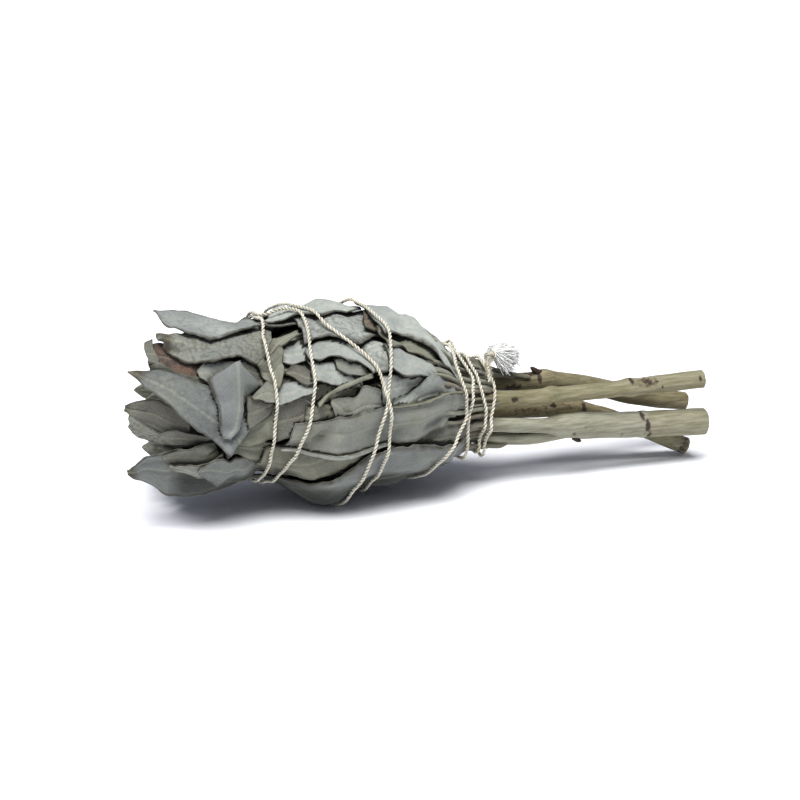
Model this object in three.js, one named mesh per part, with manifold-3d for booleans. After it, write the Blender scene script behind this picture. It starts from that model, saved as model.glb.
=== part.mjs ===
// A white sage smudge bundle: four cut sage stems whose dried leaves are folded forward over each
// other into a tapered head, wound with one length of thin cotton twine. It lies on its side.
// Millimetres, +Z up. X runs along the bundle, with the leaf tips at -X and the cut stems at +X.
//
// Places on the bundle are given as (x, angle, radius) about its slightly sloping axis. The angle is
// in degrees: 0 is on top, 90 faces -Y, 180 is underneath and 270 faces +Y.
import * as THREE from 'three';
import { mergeVertices } from 'three/addons/utils/BufferGeometryUtils.js';
import Module from 'manifold-3d';

const wasm = await Module();
wasm.setup();

// ---- driving dimensions ----
const BLADE = 0.7;            // thickness of a dried leaf
const GAP = 0.3;              // air between two leaves that lie on each other
const TWINE = 1.0;            // twine diameter
const TWINE_STEP = 3.2;       // length of one straight piece of the twine
const SLOT = 0.3;             // air between neighbouring leaf cores, and round a stem in its core
const SURFACE = -0.45;        // height of what the bundle lies on, before the origin is set
const CORE_ENDS = [-52, 7];   // the leaf cores run between these places
const COLLAR = -3;            // from here to the neck the outer leaves grow into their core
const ROOT_LENGTH = 0.2;      // share of a leaf that dips down to its core
const COLLAR_NECK = 0.62;     // an outer leaf narrows from this share of its length on
const NARROW_LEAF = 10.5;     // narrower leaves get fewer faces
const LEAST_RADIUS = 2.5;     // no leaf lies nearer to the axis than this
const SETTLING = 1.3;         // room left under the outer radius for leaves that ride up on others
const STEM_SIDES = 9;
const STEM_STATIONS = 18;
const SEED = 7;

// Outer radius of the bound head and neck, with its two waists under the twine.
const HEAD_RADIUS = [
  [-74, 12.5], [-66, 16], [-60, 18.8], [-55, 19.5], [-48, 19.4], [-40, 18.4], [-35, 18.8], [-29, 21.4],
  [-22, 22.2], [-13, 21.4], [-6, 20.4], [0, 19.2], [4, 16.6], [7, 13.4], [10, 11.2], [15, 10.4], [24, 10.2],
];
const AXIS_HEIGHT = [
  [-72, 25], [-55, 24.6], [-34, 23.4], [-20, 22.5], [0, 20.8], [10, 18.6], [20, 18], [70, 13],
];
const CORE_RADIUS = [
  [-52, 4], [-48, 8.5], [-42, 11], [-30, 13], [-20, 13.8], [-12, 13.4], [-8, 13.6], [-3, 16.9], [0, 16],
  [4, 13], [7, 9.2],
];

// ---- the four stems, each with its own share of the leaves ----
// path: centre points from inside the core to the cut end. radius: [share of the length, radius].
const STEMS = [
  {
    name: 'front_top', from: 15, to: 95,
    limbs: [{
      path: [[-12, -5.6, 24.9], [5, -5.5, 22.0], [18.2, -6, 20.0], [33, -6, 19.4], [50, -6, 19.3],
        [69.8, -6, 19.5]],
      radius: [[0, 1.9], [0.52, 2.0], [0.56, 2.5], [0.6, 2.1], [0.74, 2.1], [0.76, 2.35], [0.79, 2.1],
        [1, 2.15]],
    }],
    buds: [{ at: [34.5, -6.2, 17.4], to: [38.0, -6.6, 16.6], radius: 0.8 }],
  },
  {
    name: 'front_low', from: 95, to: 175,
    limbs: [
      {
        path: [[-12, -5.7, 17.8], [5, -6.0, 16.2], [20, -7, 13.9], [34, -6.6, 12.1], [41, -6, 11.3],
          [54, -6, 10.1], [70.6, -6, 9.0]],
        radius: [[0, 1.5], [0.5, 1.65], [0.57, 2.8], [0.62, 3.2], [0.68, 3.05], [0.79, 3.05], [0.81, 3.3],
          [0.83, 3.1], [1, 3.15]],
      },
      {
        path: [[-8, -3.2, 15.0], [5, -4.3, 12.9], [17.5, -5, 10.2], [29, -5.6, 9.6], [37, -6, 10.6]],
        radius: [[0, 1.2], [0.5, 1.4], [0.8, 1.4], [1, 1.5]],
      },
    ],
    buds: [{ at: [36.5, -7.5, 9.4], to: [39.5, -8.3, 7.6], radius: 0.9 }],
  },
  {
    name: 'back_low', from: 175, to: 275,
    limbs: [{
      path: [[-12, 4.2, 17.4], [5, 2.2, 15.8], [21.4, 0.3, 14.9], [41.5, 1, 12.9], [55, 1, 7.9],
        [68.8, -0.6, 1.5]],
      radius: [[0, 1.8], [0.6, 1.9], [0.64, 2.4], [0.69, 1.95], [1, 2.0]],
    }],
    buds: [{ at: [41, 2.4, 13.4], to: [44.0, 4.0, 13.2], radius: 0.8 }],
  },
  {
    name: 'back_top', from: 275, to: 375,
    limbs: [{
      path: [[-12, 3.6, 26.6], [5, 3.4, 23.6], [25, 3, 20.9], [33, 3.5, 20.3], [41, 4, 18.8], [49, 5, 16.4],
        [58, 6, 13.3], [71.5, 6.2, 10.4]],
      radius: [[0, 2.0], [0.5, 2.05], [0.54, 2.6], [0.58, 2.15], [1, 2.15]],
    }],
    buds: [{ at: [33, 3.2, 21.8], to: [30.0, 2.6, 24.0], radius: 0.8 }],
  },
];

// ---- the leaves that were placed one by one, from the inmost to the outmost ----
// tip and root: [x, angle]. deep: how far under the outer radius. lift: how far the tip turns out.
// tilt: how much higher the edge of larger angle stands. small: a scrap with few faces.
const PLACED_LEAVES = [
  { tip: [-61, 24], root: [-40, 24], wide: 8, deep: 3.5, lift: 1 },
  { tip: [-65, 32], root: [-44, 52], wide: 9, deep: 4, lift: 1 },
  { tip: [-63, 93], root: [-44, 97], wide: 7, deep: 4, lift: 0 },
  { tip: [-69, 88], root: [-46, 95], wide: 10, deep: 3, lift: 0 },
  { tip: [-64.5, 44], root: [-44, 60], wide: 5, deep: 2.5, lift: 1, small: true },
  { tip: [-54, 50], root: [-36, 50], wide: 9, deep: 2, lift: 0.5 },
  { tip: [-70, 75], root: [-46, 98], wide: 9, deep: 2, lift: -1 },
  { tip: [-62, 117], root: [-36, 118], wide: 9, deep: 3, lift: 0.5 },
  { tip: [-64, 108], root: [-42, 106], wide: 8, deep: 2, lift: 0.5 },
  { tip: [-58, 132], root: [-38, 142], wide: 11, deep: 1.5, lift: 0 },
  { tip: [-68.5, 127], root: [-44, 140], wide: 11, deep: 0.5, lift: 0, tilt: -1.5 },
  { tip: [-52, 125], root: [-30, 135], wide: 12, deep: 1, lift: 0.5 },
  { tip: [-48, 80], root: [-30, 76], wide: 10, deep: 2, lift: 0 },
  { tip: [-46, 100], root: [-24, 84], wide: 10, deep: 1.5, lift: 0 },
  { tip: [-69.5, 46], root: [-40, 112], wide: 13, deep: 0, lift: 0.5, tilt: -0.8 },
  { tip: [-50, 72], root: [-32, 55], wide: 14, deep: 0, lift: 1.5, tilt: 1 },
  { tip: [-58, 33], root: [-22, 24], wide: 12, deep: 0.5, lift: 0.5 },
  { tip: [-59.5, 0], root: [-20, 8], wide: 13, deep: 0, lift: 2.6 },
  { tip: [-38, 46], root: [-22, 40], wide: 9, deep: 1.2, lift: 0, small: true },
  { tip: [-39, 68], root: [-22, 66], wide: 9, deep: 1, lift: 0.4, small: true },
  { tip: [-33, 86], root: [-12, 84], wide: 9, deep: 2.5, lift: 0, small: true },
  { tip: [-30, 62], root: [-10, 66], wide: 9, deep: 1.6, lift: 0.4 },
  { tip: [-32, 38], root: [-8, 48], wide: 11, deep: 1, lift: 0.5, tilt: 0.8 },
  { tip: [-26, 66], root: [-4, 74], wide: 9, deep: 1.2, lift: 0.6, tilt: 0.8 },
  { tip: [-38, 120], root: [14, 118], wide: 12, deep: 0.8, lift: 0 },
  { tip: [-16, 132], root: [15, 134], wide: 12, deep: 0.4, lift: 0 },
  { tip: [-40, 104], root: [15, 84], wide: 12, deep: 0, lift: 0.4, tilt: 0.8 },
  { tip: [-18, 44], root: [2, 52], wide: 11, deep: 1, lift: 0.3 },
  { tip: [-14, 66], root: [13, 66], wide: 9, deep: 0.8, lift: 0.3 },
  { tip: [-9, 50], root: [15, 50], wide: 9, deep: 0.2, lift: 0.4 },
  { tip: [-9, 34], root: [15, 34], wide: 7, deep: 0.2, lift: 0.6 },
  { tip: [-31, 24], root: [-6, 26], wide: 12, deep: 0.2, lift: 0.2, tilt: 0.5 },
  { tip: [-33, -2], root: [-6, 4], wide: 14, deep: 0, lift: 0.2 },
  { tip: [-12, 12], root: [15, 18], wide: 13, deep: 0, lift: 0.5, tilt: 0.8 },
  { tip: [-37, 196], root: [-4, 196], wide: 14, deep: 0.6, lift: 0 },
  { tip: [-35, 174], root: [-3, 178], wide: 15, deep: 0, lift: 0 },
  { tip: [-40, 146], root: [-8, 150], wide: 15, deep: 0, lift: 0 },
];

// ---- rows of leaves that go round the rest of the head by rule ----
// x of tips and roots, the angles that the row spans, and how the row lies.
const LEAF_ROWS = [
  { tip: -62, root: -43, from: 0, to: 360, count: 7, wide: 8, deep: 10, lift: 0, small: true },
  { tip: -66, root: -44, from: 165, to: 350, count: 6, wide: 10, deep: 3, lift: 0.4 },
  { tip: -58, root: -32, from: 176, to: 342, count: 6, wide: 13, deep: 0.3, lift: 1.0 },
  { tip: -39, root: -12, from: 208, to: 338, count: 5, wide: 13, deep: 0.8, lift: 0.3 },
  { tip: -20, root: 14, from: 168, to: 352, count: 6, wide: 13, deep: 0.3, lift: 0.3 },
];
const ROW_JITTER = { x: 4, angle: 7, root: 1.5, wide: 2 };

// ---- the twine: [angle, x], with the angle growing turn after turn ----
const TWINE_ROUTE = [
  [-60, 9.5], [15, 8], [45, 6.5], [75, 7.2], [90, 7.3], [105, 4.6], [120, 1.2], [150, -1.6], [180, -4],
  [225, -10], [270, -14], [315, -14.3], [360, -13], [390, -10.2], [405, -10.9], [435, -13.2],
  [465, -16.5], [495, -20.4], [515, -25], [540, -30.6], [585, -34], [630, -35], [675, -35.8],
  [720, -35.6], [750, -37.8], [795, -38], [840, -38.9], [900, -39.5], [945, -39.5], [990, -38.5],
  [1035, -37], [1072, -35.4], [1080, -31.5], [1095, -28.3], [1125, -29.1], [1155, -30.3], [1185, -33.2],
  [1215, -35.5], [1260, -37], [1305, -36], [1350, -33], [1395, -31], [1425, -29], [1440, -28],
  [1455, -25.2], [1470, -22.6], [1485, -18.2], [1500, -15], [1530, -12.9], [1560, -13.8], [1605, -14.6],
  [1650, -11.5], [1710, -3], [1755, 5], [1790, 9], [1830, 10.5], [1845, 11.5], [1875, 9.4], [1905, 8.3],
  [1930, 8.6], [1980, 9.6], [2070, 11], [2160, 12], [2220, 13], [2250, 13.8], [2290, 12.9],
  [2340, 13.4], [2430, 14.8], [2520, 15.8], [2580, 16.6], [2610, 15.4], [2645, 14.2], [2700, 14.6],
  [2790, 16.6], [2868, 17.6],
];
// Where the twine pulls in: [x, from angle, to angle, depth, half length].
const GROOVES = [
  [-38.4, 0, 360, 1.6, 3], [-31, 0, 240, 0.9, 3], [-13.5, 60, 150, 1.3, 3.5], [-12.8, 150, 215, 2.8, 3.6],
  [-29, 165, 215, 1.5, 3], [-3.5, 150, 215, 1.4, 3.5],
];
const BELLY = { at: -20.5, more: 3.2, reach: 5.5 };   // the underside's fullest place
const FLATTENED = 1.0;        // how far the underside is pressed in by what the bundle lies on
const OPEN_END_ROOM = 1.5;    // the leaf tips stand out this much further than the bound head
// The frayed end of the twine: where its knot sits, how far its fibres fan down and up, in degrees.
const TUFT = { at: [16.6, 12], rise: 0.9, length: 6.4, fibres: 9, fan: [-58, 10], radius: 0.75 };

const COLOURS = { leaf: 0x8f9688, stem: 0xa79c7a, twine: 0xd8d2bf };

// ---- small helpers ----
const radians = THREE.MathUtils.degToRad;
const turn = (angle) => ((angle % 360) + 360) % 360;
const mix = THREE.MathUtils.lerp;
const clamp = THREE.MathUtils.clamp;

function fromTable(table, x) {
  if (x <= table[0][0]) return table[0][1];
  const next = table.findIndex(([place]) => place > x);
  if (next < 0) return table.at(-1)[1];
  const [[x0, v0], [x1, v1]] = [table[next - 1], table[next]];
  const share = (x - x0) / (x1 - x0);
  return mix(v0, v1, share * share * (3 - 2 * share));
}

function randomFrom(seed) {
  let state = seed;
  return () => {
    state = (state * 1664525 + 1013904223) % 4294967296;
    return state / 4294967296;
  };
}

const headRadius = (x) => fromTable(HEAD_RADIUS, x);
const axisHeight = (x) => fromTable(AXIS_HEIGHT, x);
const coreRadius = (x) => fromTable(CORE_RADIUS, x);

function place(x, angle, radius) {
  const turned = radians(angle);
  return new THREE.Vector3(x, -radius * Math.sin(turned), axisHeight(x) + radius * Math.cos(turned));
}

function ownerOf(angle) {
  return STEMS.findIndex(({ from, to }) => turn(angle - from) < turn(to - from));
}

// ---- solids ----
// A closed solid with its faces pointing out, whichever way round they come in.
function toSolid(geometry) {
  const bare = geometry.clone();
  bare.deleteAttribute('normal');
  bare.deleteAttribute('uv');
  const merged = mergeVertices(bare, 1e-5);
  const solidOf = (triangles) => new wasm.Manifold(new wasm.Mesh({
    numProp: 3,
    vertProperties: new Float32Array(merged.attributes.position.array),
    triVerts: new Uint32Array(triangles),
  }));
  const solid = solidOf(merged.index.array);
  return solid.volume() > 0 ? solid : solidOf([...merged.index.array].reverse());
}

function toGeometry(solid) {
  const mesh = solid.getMesh();
  const geometry = new THREE.BufferGeometry();
  geometry.setAttribute('position', new THREE.BufferAttribute(mesh.vertProperties, 3));
  geometry.setIndex(new THREE.BufferAttribute(mesh.triVerts, 1));
  geometry.computeVertexNormals();
  return geometry;
}

// The largest body of a solid: loose scraps are dropped and sealed hollows filled.
function mainBody(solid) {
  return solid.decompose().sort((a, b) => b.volume() - a.volume())[0];
}

function fuse(solids) {
  return wasm.Manifold.union(solids);
}

function aboveFloor(solid) {
  const depth = 20;
  const floor = new THREE.BoxGeometry(300, 100, depth).translate(0, 0, SURFACE - depth / 2);
  return solid.subtract(toSolid(floor));
}

// ---- stems ----
// A lathed rod along X, bent so that its centre line follows the path.
function limbSolid({ path, radius }, extra, sides) {
  const curve = new THREE.CatmullRomCurve3(path.map((point) => new THREE.Vector3(...point)));
  const profile = [new THREE.Vector2(0, 0)];
  for (let i = 0; i <= STEM_STATIONS; i++) {
    const share = i / STEM_STATIONS;
    profile.push(new THREE.Vector2(fromTable(radius, share) + extra, share));
  }
  profile.push(new THREE.Vector2(0, 1));
  const geometry = new THREE.LatheGeometry(profile, sides);
  const position = geometry.attributes.position;
  const up = new THREE.Vector3(0, 0, 1);
  for (let i = 0; i < position.count; i++) {
    const share = clamp(position.getY(i), 0, 1);
    const along = curve.getTangentAt(share);
    const across = new THREE.Vector3().crossVectors(up, along).normalize();
    const upright = new THREE.Vector3().crossVectors(along, across);
    const point = curve.getPointAt(share)
      .addScaledVector(across, position.getX(i))
      .addScaledVector(upright, position.getZ(i));
    position.setXYZ(i, point.x, point.y, point.z);
  }
  return toSolid(geometry);
}

// A leaf bud or stub of a side shoot, sunk into the stem.
function budSolid({ at, to, radius }) {
  const [root, tip] = [new THREE.Vector3(...at), new THREE.Vector3(...to)];
  const along = tip.clone().sub(root);
  const geometry = new THREE.CylinderGeometry(radius * 0.35, radius, along.length(), 6);
  geometry.applyQuaternion(new THREE.Quaternion().setFromUnitVectors(
    new THREE.Vector3(0, 1, 0), along.clone().normalize()));
  geometry.translate(...root.add(tip).multiplyScalar(0.5));
  return toSolid(geometry);
}

const stemSolid = ({ limbs, buds }) => aboveFloor(fuse([
  ...limbs.map((limb) => limbSolid(limb, 0, STEM_SIDES)),
  ...buds.map(budSolid),
]));

// ---- what lies where: the top of each stem's leaves over (x, angle), and of the bare stems ----
class Layers {
  constructor(owners) {
    this.low = -80;
    this.step = 0.5;
    this.columns = 260;
    this.turns = 240;
    this.tops = Array.from({ length: owners }, () => new Float32Array(this.columns * this.turns));
  }

  column(x) {
    return clamp(Math.round((x - this.low) / this.step), 1, this.columns - 2);
  }

  row(angle) {
    return Math.round(turn(angle) / 360 * this.turns) % this.turns;
  }

  cover(x, angle, top, owner) {
    const cell = this.column(x) * this.turns + this.row(angle);
    this.tops[owner][cell] = Math.max(this.tops[owner][cell], top);
  }

  // The highest top in and next to a cell, leaving out one owner.
  height(x, angle, except = -1) {
    const [column, row] = [this.column(x), this.row(angle)];
    let highest = 0;
    this.tops.forEach((top, owner) => {
      if (owner === except) return;
      for (let i = column - 1; i <= column + 1; i++) {
        for (let j = row - 1; j <= row + 1; j++) {
          highest = Math.max(highest, top[i * this.turns + (j + this.turns) % this.turns]);
        }
      }
    });
    return highest;
  }
}

const BARE_STEMS = STEMS.length;
const TWINE_OWNER = STEMS.length + 1;
let layers = new Layers(STEMS.length + 2);

function coverCore() {
  const [low, high] = CORE_ENDS;
  for (let x = low; x <= high; x += layers.step) {
    for (let angle = 0; angle < 360; angle += 360 / layers.turns) {
      layers.cover(x, angle, coreRadius(x), ownerOf(angle));
    }
  }
}

function coverStems() {
  STEMS.flatMap(({ limbs }) => limbs).forEach(({ path, radius }) => {
    const curve = new THREE.CatmullRomCurve3(path.map((point) => new THREE.Vector3(...point)));
    for (let share = 0; share <= 1; share += 0.004) {
      const centre = curve.getPointAt(share);
      if (centre.x < CORE_ENDS[1] - 2) continue;
      for (let round = 0; round < 360; round += 5) {
        const reach = fromTable(radius, share);
        const y = centre.y + reach * Math.cos(radians(round));
        const z = centre.z + reach * Math.sin(radians(round)) - axisHeight(centre.x);
        const angle = THREE.MathUtils.radToDeg(Math.atan2(-y, z));
        layers.cover(centre.x, angle, Math.hypot(y, z), BARE_STEMS);
      }
    }
  });
}

// ---- leaves ----
// Half widths from tip to root as shares of the full half width.
const OUTLINE = [[0, 0.36], [0.09, 0.76], [0.26, 1], [0.5, 1.02], [0.74, 0.82], [0.88, 0.46], [1, 0.22]];
const SMALL_OUTLINE = [[0, 0.35], [0.2, 0.95], [0.55, 1], [0.85, 0.6], [1, 0.3]];

// The grid of a leaf's vertices over (x, angle), with the radius that it would like to lie at.
function leafGrid(leaf, random) {
  const { tip, root, wide, deep, lift, tilt = 0, small = false } = leaf;
  const outline = small ? SMALL_OUTLINE : OUTLINE;
  const across = wide < NARROW_LEAF ? 2 : 4;
  const collar = root[0] > CORE_ENDS[1];
  const middle = headRadius((tip[0] + root[0]) / 2);
  const along = new THREE.Vector2(root[0] - tip[0], radians(root[1] - tip[1]) * middle).normalize();
  const wave = random() * Math.PI * 2;
  return outline.map(([share, half], i) => {
    const narrowed = collar && share > COLLAR_NECK ? 0.6 : 1;
    const centre = [mix(tip[0], root[0], share), mix(tip[1], root[1], share)];
    const row = [];
    for (let j = 0; j <= across; j++) {
      const side = j / across * 2 - 1;
      const edge = Math.abs(side);
      const offset = side * half * narrowed * wide / 2 * (1 + 0.05 * Math.sin(wave + i * 2.4 + side));
      const x = centre[0] - offset * along.y;
      const around = Math.max(headRadius(x), 8);
      const angle = centre[1] + THREE.MathUtils.radToDeg(offset * along.x / around);
      const turned = lift * Math.pow(1 - share, 2) * 1.4;
      const waved = 0.4 * Math.sin(wave + i * 1.9 + side * 1.3) * edge;
      const sunk = x > COLLAR && x < CORE_ENDS[1] ? 0.9 : 0;
      const rested = headRadius(x) - BLADE - SETTLING - deep + turned + waved + tilt * side * 0.6 - sunk;
      const rooted = !collar && share > 1 - ROOT_LENGTH ? 1 : 0;
      const depth = (share - 1 + ROOT_LENGTH) / ROOT_LENGTH;
      const radius = rooted ? mix(rested, coreRadius(x) - 1.4, Math.min(1, depth * 1.15)) : rested;
      row.push({ x, angle, share, radius: Math.max(radius, LEAST_RADIUS) });
    }
    return row;
  });
}

// Visits points all over the grid, with the four corners round each and their weights.
function overGrid(grid, visit) {
  for (let i = 0; i < grid.length - 1; i++) {
    for (let j = 0; j < grid[0].length - 1; j++) {
      const corners = [grid[i][j], grid[i + 1][j], grid[i][j + 1], grid[i + 1][j + 1]];
      const long = Math.hypot(corners[1].x - corners[0].x, 0.3 * (corners[1].angle - corners[0].angle));
      const [stepsU, stepsV] = [Math.max(3, Math.ceil(long / 0.6)), 6];
      for (let a = 0; a <= stepsU; a++) {
        for (let b = 0; b <= stepsV; b++) {
          const [u, v] = [a / stepsU, b / stepsV];
          const weights = [(1 - u) * (1 - v), u * (1 - v), (1 - u) * v, u * v];
          const mean = (key) => corners.reduce((total, corner, k) => total + weights[k] * corner[key], 0);
          const point = { x: mean('x'), angle: mean('angle'), share: mean('share'), radius: mean('radius') };
          visit(point, corners, weights);
        }
      }
    }
  }
}

// Whether a leaf may sink into its own stem's leaves there.
const isRooted = ({ x, share }, collar) => (collar ? x > COLLAR && x < CORE_ENDS[1] : share > 1 - ROOT_LENGTH);

// Raises a leaf until it clears everything below it. In its root it only clears other stems' leaves.
// No corner rises further than the highest place round it asks for.
function settle(grid, owner, collar, gap) {
  const wanted = (point) => {
    const below = layers.height(point.x, point.angle, isRooted(point, collar) ? owner : -1);
    return below > 0 ? below + gap : 0;
  };
  grid.flat().forEach((corner) => {
    corner.most = corner.radius;
  });
  overGrid(grid, (point, corners) => {
    corners.forEach((corner) => {
      corner.most = Math.max(corner.most, wanted(point));
    });
  });
  for (let pass = 0; pass < 40; pass++) {
    let moved = false;
    overGrid(grid, (point, corners, weights) => {
      const short = wanted(point) - point.radius;
      if (short < 0.02) return;
      const spread = weights.reduce((total, weight) => total + weight * weight, 0);
      corners.forEach((corner, k) => {
        corner.radius = Math.min(corner.most, corner.radius + short * weights[k] / spread);
      });
      moved = true;
    });
    if (!moved) return;
  }
}

function leafSolid(grid) {
  const [rows, columns] = [grid.length, grid[0].length];
  const positions = [];
  for (const thickness of [0, BLADE]) {
    for (const { x, angle, radius } of grid.flat()) {
      positions.push(...place(x, angle, radius + thickness));
    }
  }
  const under = (i, j) => i * columns + j;
  const over = (i, j) => rows * columns + i * columns + j;
  const triangles = [];
  const quad = (a, b, c, d) => triangles.push(a, b, c, a, c, d);
  for (let i = 0; i < rows - 1; i++) {
    for (let j = 0; j < columns - 1; j++) {
      quad(over(i, j), over(i, j + 1), over(i + 1, j + 1), over(i + 1, j));
      triangles.push(under(i, j), under(i + 1, j + 1), under(i, j + 1));
      triangles.push(under(i, j), under(i + 1, j), under(i + 1, j + 1));
    }
    quad(under(i, 0), over(i, 0), over(i + 1, 0), under(i + 1, 0));
    quad(over(i, columns - 1), under(i, columns - 1), under(i + 1, columns - 1), over(i + 1, columns - 1));
  }
  for (let j = 0; j < columns - 1; j++) {
    quad(under(0, j), under(0, j + 1), over(0, j + 1), over(0, j));
    quad(under(rows - 1, j + 1), under(rows - 1, j), over(rows - 1, j), over(rows - 1, j + 1));
  }
  const geometry = new THREE.BufferGeometry();
  geometry.setAttribute('position', new THREE.Float32BufferAttribute(positions, 3));
  geometry.setIndex(triangles);
  return toSolid(geometry);
}

const coverLeaf = (grid, owner) => overGrid(grid, ({ x, angle, radius }) => {
  layers.cover(x, angle, radius + BLADE, owner);
});

// Lays one leaf on the bunch, higher and higher until it crosses no other stem's leaves.
function layLeaf(leaf, random, laid) {
  const owner = ownerOf(leaf.root[1]);
  const collar = leaf.root[0] > CORE_ENDS[1];
  const grid = leafGrid(leaf, random);
  let solid = null;
  for (let gap = GAP; gap < GAP + 2; gap += 0.25) {
    settle(grid, owner, collar, gap);
    solid = leafSolid(grid);
    const crossed = laid.some((other) => other.owner !== owner && other.solid.intersect(solid).volume() > 0);
    if (!crossed) break;
  }
  laid.push({ owner, grid, solid });
  coverLeaf(grid, owner);
}

function ruledLeaves(random) {
  const around = (spread) => (random() * 2 - 1) * spread;
  return LEAF_ROWS.map(({ tip, root, from, to, count, ...rest }) => (
    Array.from({ length: count }, (_, i) => {
      const angle = from + (i + 0.5) / count * (to - from) + around(ROW_JITTER.angle);
      return {
        ...rest,
        tip: [tip + around(ROW_JITTER.x), angle + around(ROW_JITTER.angle)],
        root: [root + around(ROW_JITTER.root), angle],
        wide: rest.wide + around(ROW_JITTER.wide),
      };
    })));
}

// The slim core that one stem's leaves grow from: a wedge of the head, bored for its stem.
function coreSolid(stem, press) {
  const [low, high] = CORE_ENDS;
  const opening = turn(stem.to - stem.from);
  const geometry = new THREE.BoxGeometry(1, 1, 1, 14, 6, 1);
  const position = geometry.attributes.position;
  const middle = stem.from + opening / 2;
  const inner = 0.6;
  for (let i = 0; i < position.count; i++) {
    const x = mix(low, high, position.getX(i) + 0.5);
    const angle = stem.from + (position.getY(i) + 0.5) * opening;
    const radius = position.getZ(i) > 0 ? coreRadius(x) * press(x, angle) : inner;
    const point = place(x, angle, radius).sub(place(x, 0, 0)).add(place(x, middle, SLOT * 0.75));
    position.setXYZ(i, point.x, point.y, point.z);
  }
  return toSolid(geometry);
}

// ---- binding ----
// The twine pulls the head into shape. Everything at one place moves in or out by the same share,
// so that leaves which lie clear of each other stay clear.
const PRESS = { xStep: 4, angleStep: 12, low: -52, high: 16, least: 0.78, leastNeck: 0.88, most: 1.12 };
const OUTLIERS = 4;           // so many of the highest spots round a place are left out

// How much the twine's grooves and the surface underneath take off the outer radius.
function boundRadius(x, angle) {
  const below = Math.max(0, Math.cos(radians(angle - 180)));
  const flat = axisHeight(x) / Math.max(below, 0.2) + FLATTENED;
  const belly = BELLY.more * below * Math.exp(-(((x - BELLY.at) / BELLY.reach) ** 2));
  const groove = GROOVES.reduce((depth, [middle, low, high, deep, wide]) => {
    const inside = turn(angle - low) < high - low;
    return Math.max(depth, inside ? deep * Math.exp(-(((x - middle) / wide) ** 2)) : 0);
  }, 0);
  return Math.min(headRadius(x) + (x > PRESS.low ? 0 : OPEN_END_ROOM) + belly - groove, flat);
}

function pressing() {
  const columns = Math.round((PRESS.high - PRESS.low) / PRESS.xStep) + 1;
  const rows = 360 / PRESS.angleStep;
  const wrap = (row) => (row + rows) % rows;
  const raw = Array.from({ length: columns }, (_, i) => Array.from({ length: rows }, (_, j) => {
    const [x, angle] = [PRESS.low + i * PRESS.xStep, j * PRESS.angleStep];
    const tops = [];
    for (let dx = -2; dx <= 2; dx += 1) {
      for (let da = -6; da <= 6; da += 3) {
        tops.push(layers.height(x + dx, angle + da, BARE_STEMS));
      }
    }
    tops.sort((a, b) => b - a);
    const least = x < CORE_ENDS[1] ? PRESS.least : PRESS.leastNeck;
    return clamp(boundRadius(x, angle) / tops[OUTLIERS], least, PRESS.most);
  }));
  const smooth = raw.map((column, i) => column.map((value, j) => {
    const beside = [
      raw[Math.max(0, i - 1)][j], raw[Math.min(columns - 1, i + 1)][j], column[wrap(j - 1)], column[wrap(j + 1)],
    ];
    return value / 3 + beside.reduce((a, b) => a + b) / 6;
  }));
  return (x, angle) => {
    const column = clamp((x - PRESS.low) / PRESS.xStep, 0, columns - 1.001);
    const row = turn(angle) / PRESS.angleStep;
    const [i, j] = [Math.floor(column), Math.floor(row)];
    const [u, v] = [column - i, row - j];
    const near = mix(smooth[i][wrap(j)], smooth[i][wrap(j + 1)], v);
    const far = mix(smooth[i + 1][wrap(j)], smooth[i + 1][wrap(j + 1)], v);
    return mix(near, far, u);
  };
}

// ---- twine ----
const ROUTE_RADIUS = 18;      // the route is drawn flat, as on a roller of this radius
const TWINE_FINE = 0.4;       // length between the places where the twine is laid
const TWINE_LAG = 16;         // so many places on, the twine lies on what it has wound already
const TWINE_SINK = 1.5;       // it may sink this deep into the head's outer radius

function twineCentres() {
  const flat = TWINE_ROUTE.map(([angle, x]) => new THREE.Vector3(x, radians(angle) * ROUTE_RADIUS, 0));
  const curve = new THREE.CatmullRomCurve3(flat);
  const count = Math.ceil(curve.getLength() / TWINE_FINE);
  const half = TWINE / 2;
  const centres = Array.from({ length: count + 1 }, (_, i) => {
    const { x, y } = curve.getPointAt(i / count);
    return { x, angle: THREE.MathUtils.radToDeg(y / ROUTE_RADIUS), radius: 0 };
  });
  centres.forEach((centre, i) => {
    const { x, angle } = centre;
    const below = [-half, 0, half].map((side) => layers.height(x + side, angle));
    centre.radius = Math.max(...below, headRadius(x) - TWINE_SINK) + half + 0.2;
    if (i < TWINE_LAG) return;
    const wound = centres[i - TWINE_LAG];
    for (const side of [-half, 0, half]) {
      layers.cover(wound.x + side, wound.angle, wound.radius + half, TWINE_OWNER);
    }
  });
  return tighten(centres);
}

// Pulls the string straight between the high places that it rests on.
function tighten(centres) {
  const reach = 4;
  const passes = 120;
  const slack = 0.9997;
  const rests = centres.map((_, i) => Math.max(...centres.slice(Math.max(0, i - reach), i + reach + 1)
    .map(({ radius }) => radius)));
  for (let pass = 0; pass < passes; pass++) {
    for (let i = 1; i < centres.length - 1; i++) {
      const straight = (rests[i - 1] + rests[i + 1]) / 2 * slack;
      rests[i] = Math.max(rests[i], straight);
    }
  }
  return centres.map(({ x, angle }, i) => place(x, angle, rests[i]));
}

class Polyline extends THREE.Curve {
  constructor(points) {
    super();
    this.points = points;
  }

  getPoint(share, target = new THREE.Vector3()) {
    const at = clamp(share, 0, 1) * (this.points.length - 1);
    const before = Math.min(Math.floor(at), this.points.length - 2);
    return target.copy(this.points[before]).lerp(this.points[before + 1], at - before);
  }
}

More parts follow.
